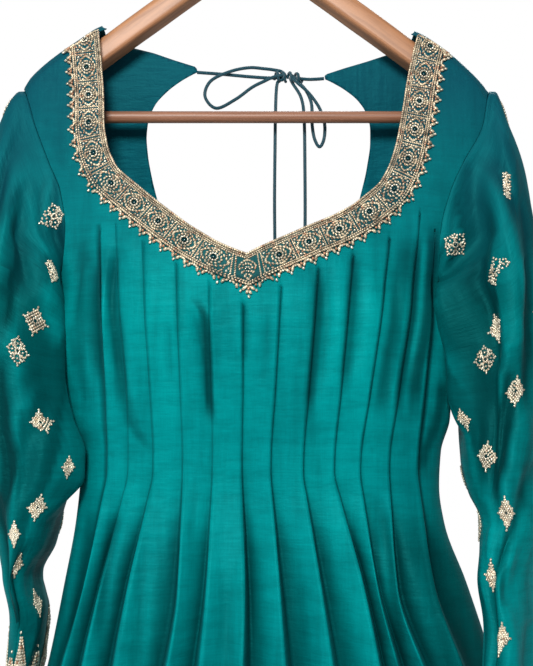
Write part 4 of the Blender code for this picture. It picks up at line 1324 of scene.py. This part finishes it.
def embroidery(name, gold, shine, copper, stones, gold_thread, shine_bead):
    """One piece of embroidery: gold coils, bright beads, coppery beads and flat stones."""
    return joined(name, [
        sewn(name + "_gold", gold, bead, gold_thread),
        sewn(name + "_shine", shine, shine_bead, bright_zari),
        sewn(name + "_copper", copper, bead, copper_zari),
        sewn(name + "_stones", stones, sequin, teal_stone, 0.0),
    ])


def row_of(surface, s0, w0, s1, w1, step, size, slant, lift):
    """A straight row of slanted beads on a surface, from one place to another."""
    count = max(int(math.hypot(s1 - s0, w1 - w0) / step), 1)
    heading = math.atan2(w1 - w0, s1 - s0) + slant
    found = []
    for k in range(count + 1):
        t = k / count
        found.append(stitch_at(surface, s0 + (s1 - s0) * t, w0 + (w1 - w0) * t, heading, size, lift))
    return found


def stitch_at(surface, s, w, angle, size, lift):
    """One stitch: angle is its direction on the cloth, from along the band towards its outer edge."""
    place, normal, along, out = surface(s, w)
    way = along * math.cos(angle) + out * math.sin(angle)
    return place + normal * lift, normal, way, size


def on_band(s, w):
    """Place on the band, its facing, and the directions along it and out to its edge."""
    place, normal, run = on_border(s, w)
    along = np.array([run[0], 0.0, run[1]])
    along -= normal * (along @ normal)
    along /= np.linalg.norm(along)
    out = np.cross(normal, along)
    _, away, _ = along_neck(s)
    if out @ np.array([away[0], 0.0, away[1]]) < 0:
        out = -out
    return place, normal, along, out


def ring_of(surface, s, w, wide, tall, count, size, slant, lift, power=2.0, phase=0.0):
    """A closed ring of beads round a place; a low power gives it pointed ends."""
    found = []
    for k in range(count):
        t = 2 * math.pi * (k + phase) / count
        a, b = math.cos(t), math.sin(t)
        ds = wide * math.copysign(abs(a) ** (2 / power), a)
        dw = tall * math.copysign(abs(b) ** (2 / power), b)
        heading = math.atan2(tall * math.cos(t), -wide * math.sin(t))
        found.append(stitch_at(surface, s + ds, w + dw, heading + slant, size, lift))
    return found


BAND_WIDTH = 25.0
ribbon_rows, ribbon_columns = 5, 300
ribbon = np.array([
    on_border(s, w, 1.7)[0]
    for s in np.linspace(LEFT_END, RIGHT_END, ribbon_columns)
    for w in np.linspace(-0.3, BAND_WIDTH, ribbon_rows)
]) * MM
index = np.arange(ribbon_columns * ribbon_rows).reshape(ribbon_columns, ribbon_rows)
quads = np.stack([index[:-1, :-1], index[:-1, 1:], index[1:, 1:], index[1:, :-1]], -1).reshape(-1, 4)
band = grid_mesh("neck_border_band", ribbon, quads, ribbon[:, [0, 2]])
if band.data.polygons[len(quads) // 2].normal.y > 0:
    band.data.flip_normals()
# Painted shade: the ground is the same teal silk, made far darker, for it shows only in the narrow gaps
# between the raised beads.
shaded_band_silk = silk("teal_border_ground_painted_shade", (0.022, 0.090, 0.090), (0.016, 0.056, 0.058), 5.0)
band.data.materials.append(shaded_band_silk)
thicken(band, 1.0 * MM)
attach(band, "root")
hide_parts("neck_border")

ON = 2.0  # the beads stand on the band's own face
gold, shine, copper, stones = [], [], [], []
for w, step, size, slant in (
    (0.5, 2.0, (3.3, 2.1, 1.8), 0.5), (2.4, 1.6, (2.3, 1.3, 1.2), -0.5), (4.0, 1.8, (2.6, 1.5, 1.3), 0.5),
    (21.9, 1.7, (2.6, 1.5, 1.3), -0.5), (23.8, 1.9, (3.1, 1.9, 1.6), 0.5),
):
    gold += row_of(on_band, LEFT_END + 1, w, RIGHT_END - 1, w, step, size, slant, ON)
PANELS = 10
for side, end in ((-1, -LEFT_END), (1, RIGHT_END)):
    pitch = (end - 10.0) / PANELS
    for k in range(PANELS):
        edge = side * (10.0 + pitch * k)
        for apart in (-1.2, 1.2):
            gold += row_of(on_band, edge + apart, 5.6, edge + apart, 20.4, 1.7, (2.6, 1.6, 1.4), 0.45, ON)
        middle = side * (10.0 + pitch * (k + 0.5))
        spread = pitch / 2 - 3.0
        w = 12.9
        gold += ring_of(on_band, middle, w, spread, 7.2, 24, (3.4, 2.2, 1.8), 0.45, ON, 1.45)
        gold += ring_of(on_band, middle, w, 5.6, 5.0, 13, (3.2, 2.0, 1.8), 0.6, ON + 0.3, 1.8)
        shine += ring_of(on_band, middle, w, 3.0, 2.9, 9, (2.5, 2.0, 1.9), 0.2, ON + 0.7)
        stones += [stitch_at(on_band, middle, w, 0.0, (3.9, 3.9, 1.9), ON + 0.3)]
        for ds in (-1, 1):
            for dw in (-1, 1):
                for thread, inset, across, slant, size in (
                    (shine, 0.4, 6.5, 0.8, (2.3, 2.2, 1.7)),
                    (gold, 3.0, 7.3, ds * dw * -0.5, (3.4, 1.7, 1.3)),
                    (gold, -0.6, 4.0, ds * dw * 1.3, (3.2, 1.6, 1.2)),
                    (copper, 2.2, 5.0, 0.8, (1.7, 1.6, 1.3)),
                ):
                    thread.append(
                        stitch_at(on_band, middle + ds * (spread - inset), w + dw * across, slant, size, ON)
                    )
    tips = int(end / 10.6)
    for k in range(tips):
        s = side * (end - 4.0) * (k + 0.5) / tips
        for ds in (-1, 1):
            gold.append(stitch_at(on_band, s + ds * 2.1, 27.6, 1.57 + ds * 0.42, (5.4, 3.0, 2.2), ON - 0.5))
            gold.append(stitch_at(on_band, s + ds * 3.7, 25.9, 1.57 + ds * 0.95, (3.9, 2.2, 1.8), ON - 0.4))
        copper.append(stitch_at(on_band, s, 26.6, 1.57, (2.8, 2.5, 2.2), ON + 0.2))
        shine.append(stitch_at(on_band, s, 30.6, 1.57, (3.1, 2.3, 1.8), ON - 0.7))
        shine.append(stitch_at(on_band, s + side * 5.3, 25.9, 1.57, (2.3, 2.1, 1.6), ON - 0.3))
gold += ring_of(on_band, 0.0, 12.5, 6.4, 7.2, 18, (3.2, 2.0, 1.7), 0.45, ON, 1.4)
gold += ring_of(on_band, 0.0, 12.5, 3.8, 4.2, 10, (2.7, 1.8, 1.6), 1.0, ON + 0.2)
shine += ring_of(on_band, 0.0, 12.5, 1.8, 1.8, 6, (1.8, 1.5, 1.4), 0.0, ON + 0.5)
stones += [stitch_at(on_band, 0.0, 12.5, 0.0, (2.0, 2.0, 1.5), ON + 0.3)]
for w, ds in ((27.0, -2.6), (27.0, 2.6), (29.6, -1.2), (29.6, 1.2)):
    gold.append(stitch_at(on_band, ds, w, 1.57 - ds * 0.15, (4.6, 2.7, 2.1), ON - 0.5))
copper.append(stitch_at(on_band, 0.0, 26.4, 1.57, (2.8, 2.4, 2.0), ON))
shine.append(stitch_at(on_band, 0.0, 32.2, 1.57, (3.2, 2.3, 1.8), ON - 0.7))
work = embroidery("neck_border_embroidery", gold, shine, copper, stones, pale_zari, seed_bead)
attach(work, "root")

# ---------------------------------------------------------------------------
# The motifs of the sleeves: small four-lobed and diamond butas worked in the
# same metal thread with bright beads, scattered over the whole of each sleeve.

MOTIF_GAP = 32.0
BUTA_SPOTS = {
    # across, height, half length and half width in mm, kind
    -1: (
        (-171, -325, 10.0, 9.5, "lobed"), (-168, -370, 9.5, 7.0, "lobed"), (-179, -414, 10.5, 9.5, "diamond"),
        (-190, -440, 11.0, 8.5, "lobed"), (-170, -498, 9.0, 8.0, "diamond"),
        (-150, -532, 7.5, 5.0, "diamond"), (-172, -566, 9.0, 7.5, "diamond"),
        (-186, -585, 8.5, 6.0, "diamond"), (-186, -609, 8.0, 6.0, "diamond"),
        (-174, -640, 9.5, 6.5, "diamond"),
    ),
    1: (
        (211, -301, 11.0, 8.5, "lobed"), (169, -350, 10.5, 9.5, "lobed"), (195, -378, 10.5, 9.0, "lobed"),
        (198, -420, 10.5, 7.5, "diamond"), (187, -447, 10.5, 8.0, "lobed"), (207, -472, 10.5, 7.5, "diamond"),
        (170, -494, 8.0, 5.5, "diamond"), (183, -524, 10.5, 7.5, "diamond"),
        (193, -568, 11.0, 8.0, "diamond"), (180, -614, 10.0, 6.0, "diamond"),
        (182, -660, 10.5, 8.0, "diamond"), (196, -690, 9.0, 6.5, "diamond"),
    ),
}


def on_sleeve(side, row, turn):
    """A surface round a place of the sleeve: along runs to the wrist, out runs round the sleeve."""
    grid, normal = sleeve_grids[side]
    rows, around, _ = grid.shape

    def at(r, c):
        r = min(max(r, 0.0), rows - 1.001)
        i, j = int(r), int(math.floor(c)) % around
        u, v = r - int(r), c - math.floor(c)
        k = (j + 1) % around
        both = []
        for field in (grid, normal):
            both.append(
                field[i, j] * (1 - u) * (1 - v) + field[i + 1, j] * u * (1 - v)
                + field[i, k] * (1 - u) * v + field[i + 1, k] * u * v
            )
        return both

    here, _ = at(row, turn)
    per_row = max(np.linalg.norm(at(row + 3, turn)[0] - at(row - 3, turn)[0]) / 6.0, 2.0)
    per_turn = max(np.linalg.norm(at(row, turn + 3)[0] - at(row, turn - 3)[0]) / 6.0, 2.4)

    def surface(s, w):
        place, out_of = at(row + s / per_row, turn + w / per_turn)
        out_of = out_of / np.linalg.norm(out_of)
        along = at(row + s / per_row + 0.7, turn + w / per_turn)[0] - place
        along -= out_of * (along @ out_of)
        along /= np.linalg.norm(along)
        return place, out_of, along, np.cross(out_of, along)

    return surface


def buta(surface, long, wide, kind, gold, shine, copper, stones):
    """One small motif centred on the surface's own middle."""
    lift = 0.6
    if kind == "lobed":
        for k in range(4):
            turn = k * math.pi / 2
            s, w = 0.56 * long * math.cos(turn), 0.56 * wide * math.sin(turn)
            gold += ring_of(surface, s, w, long * 0.36, wide * 0.36, 9, (2.9, 2.0, 1.6), 0.5, lift)
            shine.append(stitch_at(surface, s, w, turn, (2.6, 2.1, 1.6), lift))
            tip = long * 1.08 * math.cos(turn), wide * 1.08 * math.sin(turn)
            shine.append(stitch_at(surface, *tip, turn, (2.6, 2.0, 1.5), lift))
            lean = turn + math.pi / 4
            s, w = 0.66 * long * math.cos(lean), 0.66 * wide * math.sin(lean)
            gold += ring_of(surface, s, w, long * 0.2, wide * 0.2, 6, (2.6, 1.9, 1.5), 1.4, lift)
            copper.append(stitch_at(surface, s * 0.5, w * 0.5, lean, (2.4, 1.8, 1.3), lift))
        shine += ring_of(surface, 0, 0, long * 0.21, wide * 0.21, 8, (2.1, 1.7, 1.5), 0.0, lift + 0.2)
        stones.append(stitch_at(surface, 0, 0, 0, (2.6, 2.6, 1.5), lift))
        return
    for k in range(4):
        turn, after = k * math.pi / 2, (k + 1) * math.pi / 2
        a = (long * math.cos(turn), wide * math.sin(turn))
        b = (long * math.cos(after), wide * math.sin(after))
        for share, step, size, slant in (
            (0.92, 1.9, (3.0, 2.2, 1.7), 0.4), (0.62, 1.8, (3.0, 2.2, 1.6), -0.4),
            (0.34, 1.8, (2.6, 1.9, 1.5), 0.4),
        ):
            start, end = (a[0] * share, a[1] * share), (b[0] * share, b[1] * share)
            gold += row_of(surface, *start, *end, step, size, slant, lift)
        shine.append(stitch_at(surface, a[0] * 1.14, a[1] * 1.14, turn, (2.8, 2.1, 1.5), lift))
        for share in (0.3, 0.7):
            s, w = a[0] + (b[0] - a[0]) * share, a[1] + (b[1] - a[1]) * share
            shine.append(stitch_at(surface, s * 1.12, w * 1.12, 0.0, (2.3, 2.0, 1.4), lift))
        copper.append(stitch_at(surface, a[0] * 0.38, a[1] * 0.38, turn, (2.4, 1.8, 1.3), lift))
    shine += ring_of(surface, 0, 0, long * 0.2, wide * 0.2, 6, (2.1, 1.7, 1.4), 0.0, lift + 0.2)
    stones.append(stitch_at(surface, 0, 0, 0, (2.0, 2.0, 1.4), lift))


def nearest_cell(side, x, z):
    """The sleeve's row and turn that a look straight at the front meets here."""
    hit = sleeve_trees[side].ray_cast(Vector((x * MM, -0.6, z * MM)), Vector((0, 1, 0)), 1.0)
    if hit[2] is None:
        return None
    return divmod(hit[2], SLEEVE_AROUND)


white_zari = zari("white_gold_thread", (1.0, 0.92, 0.74), (0.60, 0.49, 0.34), (0.92, 0.72, 0.50), 0.32, 19.0)
for side, word in ((-1, "left"), (1, "right")):
    gold, shine, copper, stones = [], [], [], []
    grid, normal = sleeve_grids[side]
    placed = []
    for x, z, long, wide, kind in BUTA_SPOTS[side]:
        cell = nearest_cell(side, x, z)
        if cell is None:
            continue
        placed.append(grid[cell[0], cell[1]])
        buta(on_sleeve(side, cell[0], cell[1]), long, wide, kind, gold, shine, copper, stones)
    draw = np.random.default_rng(17 + side)
    for line in range(10):
        row = 8 + line * 13.5
        for k in range(6):
            turn = (k + 0.5 * (line % 2) + draw.uniform(-0.12, 0.12)) * SLEEVE_AROUND / 6
            here = row + draw.uniform(-2, 2)
            if here > SLEEVE_ALONG * 0.80:
                continue
            cell = int(here), int(turn) % SLEEVE_AROUND
            spot = grid[cell]
            if any(np.linalg.norm(spot - other) < MOTIF_GAP for other in placed):
                continue
            if normal[cell][1] < -0.3 and abs(spot[0]) < 216 and spot[2] > -680:
                continue  # the stretch of the front that BUTA_SPOTS fills
            placed.append(spot)
            kind = "lobed" if (line + k) % 3 == 0 else "diamond"
            buta(on_sleeve(side, here, turn), 11.0, 8.5, kind, gold, shine, copper, stones)
    work = embroidery("sleeve_motifs_" + word, gold, shine, copper, stones, white_zari, bead)
    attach(work, "root")

# ---------------------------------------------------------------------------
# The cuff borders: a band of the same metal thread round each wrist, with a
# row of tall points above it that reach up the sleeve.

CUFF_TOP, CUFF_FOOT = -702.0, -774.8
POINT_RISE = {-1: (40.0, 26.0), 1: (20.0, 13.0)}  # tall and short points, by turns
POINT_ROW = 2.2  # from one row of a point's beads to the next

for side, word in ((-1, "left"), (1, "right")):
    grid, normal = sleeve_grids[side]
    heights = grid.mean(1)[:, 2]
    top = int(np.argmin(np.abs(heights - CUFF_TOP)))
    ring = grid[top:] + normal[top:] * 1.2
    rows = len(ring)
    points = ring.reshape(-1, 3) * MM
    points[:, 2] = np.maximum(points[:, 2], CUFF_FOOT * MM)
    faces = tube_faces(rows, SLEEVE_AROUND, side > 0)
    cuff = grid_mesh("cuff_border_of_the_" + word, points, faces, points[:, [1, 2]])
    # Painted shade: the cuff's ground is the same darkened border silk.
    cuff.data.materials.append(shaded_band_silk)
    thicken(cuff, 0.8 * MM)
    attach(cuff, "root")
    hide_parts("cuff_border_" + word)
    gold, shine, copper, stones = [], [], [], []
    round_mm = np.linalg.norm(np.roll(grid[top + 8], -1, 0) - grid[top + 8], axis=1).sum()
    per_row = abs(heights[top + 10] - heights[top]) / 10.0

    def wrist(s, w, side=side, top=top, round_mm=round_mm, per_row=per_row):
        """Place round the wrist: s along the cuff, w down from its upper edge."""
        place, out_of, along, out = on_sleeve(side, top + w / per_row, s * SLEEVE_AROUND / round_mm)(0.0, 0.0)
        return place + out_of * 1.3, out_of, out, along

    deep = (len(grid) - 1 - top) * per_row - 2.0
    for w, size in (
        (1.0, (2.6, 1.4, 1.2)), (4.0, (2.4, 1.2, 1.1)), (deep - 5, (2.4, 1.2, 1.1)),
        (deep - 2, (2.6, 1.4, 1.2)),
    ):
        gold += row_of(wrist, 0, w, round_mm, w, 2.0, size, 0.5, 0.4)
    count = max(int(round_mm / 24), 4)
    for k in range(count):
        s = (k + 0.5) * round_mm / count
        half = round_mm / count / 2
        for level in range(2):
            w = 4 + (deep - 9) * (level + 0.5) / 2
            tall = (deep - 9) / 4 - 1.0
            gold += ring_of(wrist, s, w, half - 1.6, tall, 26, (2.4, 1.3, 1.2), 0.5, 0.4, 1.75)
            gold += ring_of(wrist, s, w, half - 4.4, tall - 2.8, 16, (2.2, 1.2, 1.1), 1.5, 0.4)
            shine += ring_of(wrist, s, w, 3.0, 3.0, 9, (1.8, 1.4, 1.3), 0.0, 0.6)
            stones.append(stitch_at(wrist, s, w, 0, (3.6, 3.6, 1.8), 0.5))
            for ds in (-1, 1):
                edge = s + ds * (half - 1.2)
                copper.append(stitch_at(wrist, edge, w + tall - 1, 0.8 * ds, (2.2, 1.4, 1.1), 0.4))
        rise = POINT_RISE[side][k % 2]
        for level in range(int(rise / POINT_ROW)):
            t = level / (rise / POINT_ROW)
            spread = (half - 1.0) * (1 - t)
            up = -POINT_ROW * level
            for ds in (-1, 1):
                gold.append(stitch_at(wrist, s + ds * spread, up, -1.57 + ds * 0.35, (3.2, 2.2, 1.7), -0.6))
                for deeper in (2.2, 4.4, 6.6, 8.8):
                    if spread > deeper:
                        thread = copper if (level + int(deeper)) % 5 == 1 else gold
                        inner = s + ds * (spread - deeper)
                        thread.append(stitch_at(wrist, inner, up, 0.6 * ds, (3.2, 2.6, 1.6), -0.6))
        shine.append(stitch_at(wrist, s, -rise - 1.5, 1.57, (3.0, 2.0, 1.6), -0.7))
    work = embroidery("cuff_embroidery_" + word, gold, shine, copper, stones, white_zari, bead)
    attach(work, "root")

# ---------------------------------------------------------------------------
# The hanger: two curved arms of oiled hardwood in one piece with rounded top
# edges, a round bar let into their ends, and a swivel hook of bright steel.

ARM_PATH = (
    (-186, -226), (-183, -213), (-170, -199), (-150, -182), (-110, -151), (-70, -121), (-30, -92), (-12, -80),
    (0, -76.5), (12, -80), (30, -92), (70, -121), (110, -151), (150, -182), (170, -199), (183, -213),
    (186, -226),
)


def hardwood(name, light, dark, seed):
    """Oiled wood with fine dark lines running along the grain."""
    s = Shader(name)
    here = s.add("ShaderNodeUVMap", uv_map="weave").outputs[0]
    lines = s.streaks(here, (14.0, 420.0), seed, 4.0, 0.6)
    broad = s.streaks(here, (5.0, 60.0), seed + 3, 3.0, 0.5)
    tone = s.mix(s.curve(broad, ((0.3, 0.0), (0.7, 1.0))), dark, light)
    tone = s.toned(tone, lines, ((0.35, (0.72, 0.68, 0.64)), (0.55, 1.0), (0.75, (1.1, 1.08, 1.05))))
    s.finish(Base_Color=tone, Normal=s.bump(lines, 0.15, 0.0002), Roughness=0.42)
    return s.material


arm_wood = hardwood("oiled_hardwood", (0.54, 0.255, 0.120), (0.41, 0.180, 0.082), 1.0)
bar_wood = hardwood("bar_hardwood", (0.40, 0.18, 0.10), (0.28, 0.12, 0.066), 6.0)


def swept(name, path, section_at, sides, material):
    """A solid carried along a path in the upright plane, with its grain running along it."""
    points, weave = [], []
    run = 0.0
    for i, (x, z) in enumerate(path):
        before, after = path[max(i - 1, 0)], path[min(i + 1, len(path) - 1)]
        way = np.array(after) - np.array(before)
        way = way / np.linalg.norm(way)
        up = np.array([-way[1], way[0]])
        run += math.dist(path[i], path[i - 1]) if i else 0.0
        for k in range(sides):
            y, h = section_at(k / sides, x)
            points.append((x + up[0] * h, y, z + up[1] * h))
            weave.append((run * MM, k / sides * 0.06))
    count = len(path)
    points = np.array(points) * MM
    index = np.arange(count * sides).reshape(count, sides)
    after = np.roll(index, -1, 1)
    quads = np.stack([index[:-1], after[:-1], after[1:], index[1:]], -1).reshape(-1, 4)
    made = bpy.data.meshes.new(name)
    made.from_pydata(points.tolist(), [], quads.tolist() + [index[0].tolist(), index[-1].tolist()[::-1]])
    lay_weave(made, weave)
    work = bmesh.new()
    work.from_mesh(made)
    bmesh.ops.recalc_face_normals(work, faces=work.faces)
    work.to_mesh(made)
    work.free()
    made.shade_smooth()
    made.materials.append(material)
    piece = in_scene(name, made)
    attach(piece, "root")
    return piece


def round_section(radius):
    return lambda t, x: (radius * math.cos(2 * math.pi * t), radius * math.sin(2 * math.pi * t))


def arm_section(t, x):
    """Flat sides with well rounded upper edges and a narrow chamfer below."""
    middle = 1.0 - min(abs(x) / 150.0, 1.0)
    half = 10.5 * (0.86 + 0.14 * (1.0 - abs(middle - 0.4)))
    turn = 2 * math.pi * t
    y, h = math.cos(turn), math.sin(turn)
    power = 0.34 if h < 0 else 0.52
    return 11.0 * math.copysign(abs(y) ** power, y), half * math.copysign(abs(h) ** power, h)


arm_path = [tuple(p) for p in softened(ARM_PATH, 90, 3)]
arms = swept("hanger_arms_wood", arm_path, arm_section, 32, arm_wood)
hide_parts("hanger_arms")
bar_path = [(x, -227.5) for x in np.linspace(-174.6, 174.6, 40)]
bar = swept("hanger_bar_wood", bar_path, round_section(5.2), 28, bar_wood)
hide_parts("hanger_bar")

steel = plain("bright_steel", (0.62, 0.62, 0.63), 0.24, 1.0)
HOOK_RADIUS, HOOK_TOP, HOOK_WIRE = 21.8, 1.8, 3.6  # to the middle of the wire, in mm
hook_places = [(0, 0, -59.6), (0, 0, -52.0), (2.5, 0, -46.5)]
for step in range(57):
    angle = math.radians(-58 + 253 * step / 56)
    height = HOOK_TOP - HOOK_RADIUS + HOOK_RADIUS * math.sin(angle)
    hook_places.append((HOOK_RADIUS * math.cos(angle), 0, height))
hook_places.append((hook_places[-1][0] - 0.6, 0, hook_places[-1][2] - 7.0))
hook = round_cord("hanger_hook_wire", hook_places, HOOK_WIRE * MM, steel)
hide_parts("hanger_hook")
collar_path = [(0, -64.0), (0, -63.6), (0, -62), (0, -60.4), (0, -60.0)]
collar = swept("hook_collar_ring", collar_path, round_section(5.0), 32, steel)
edge = collar.modifiers.new("edge", "BEVEL")
edge.width = 0.5 * MM
edge.segments = 2
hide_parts("hook_collar")
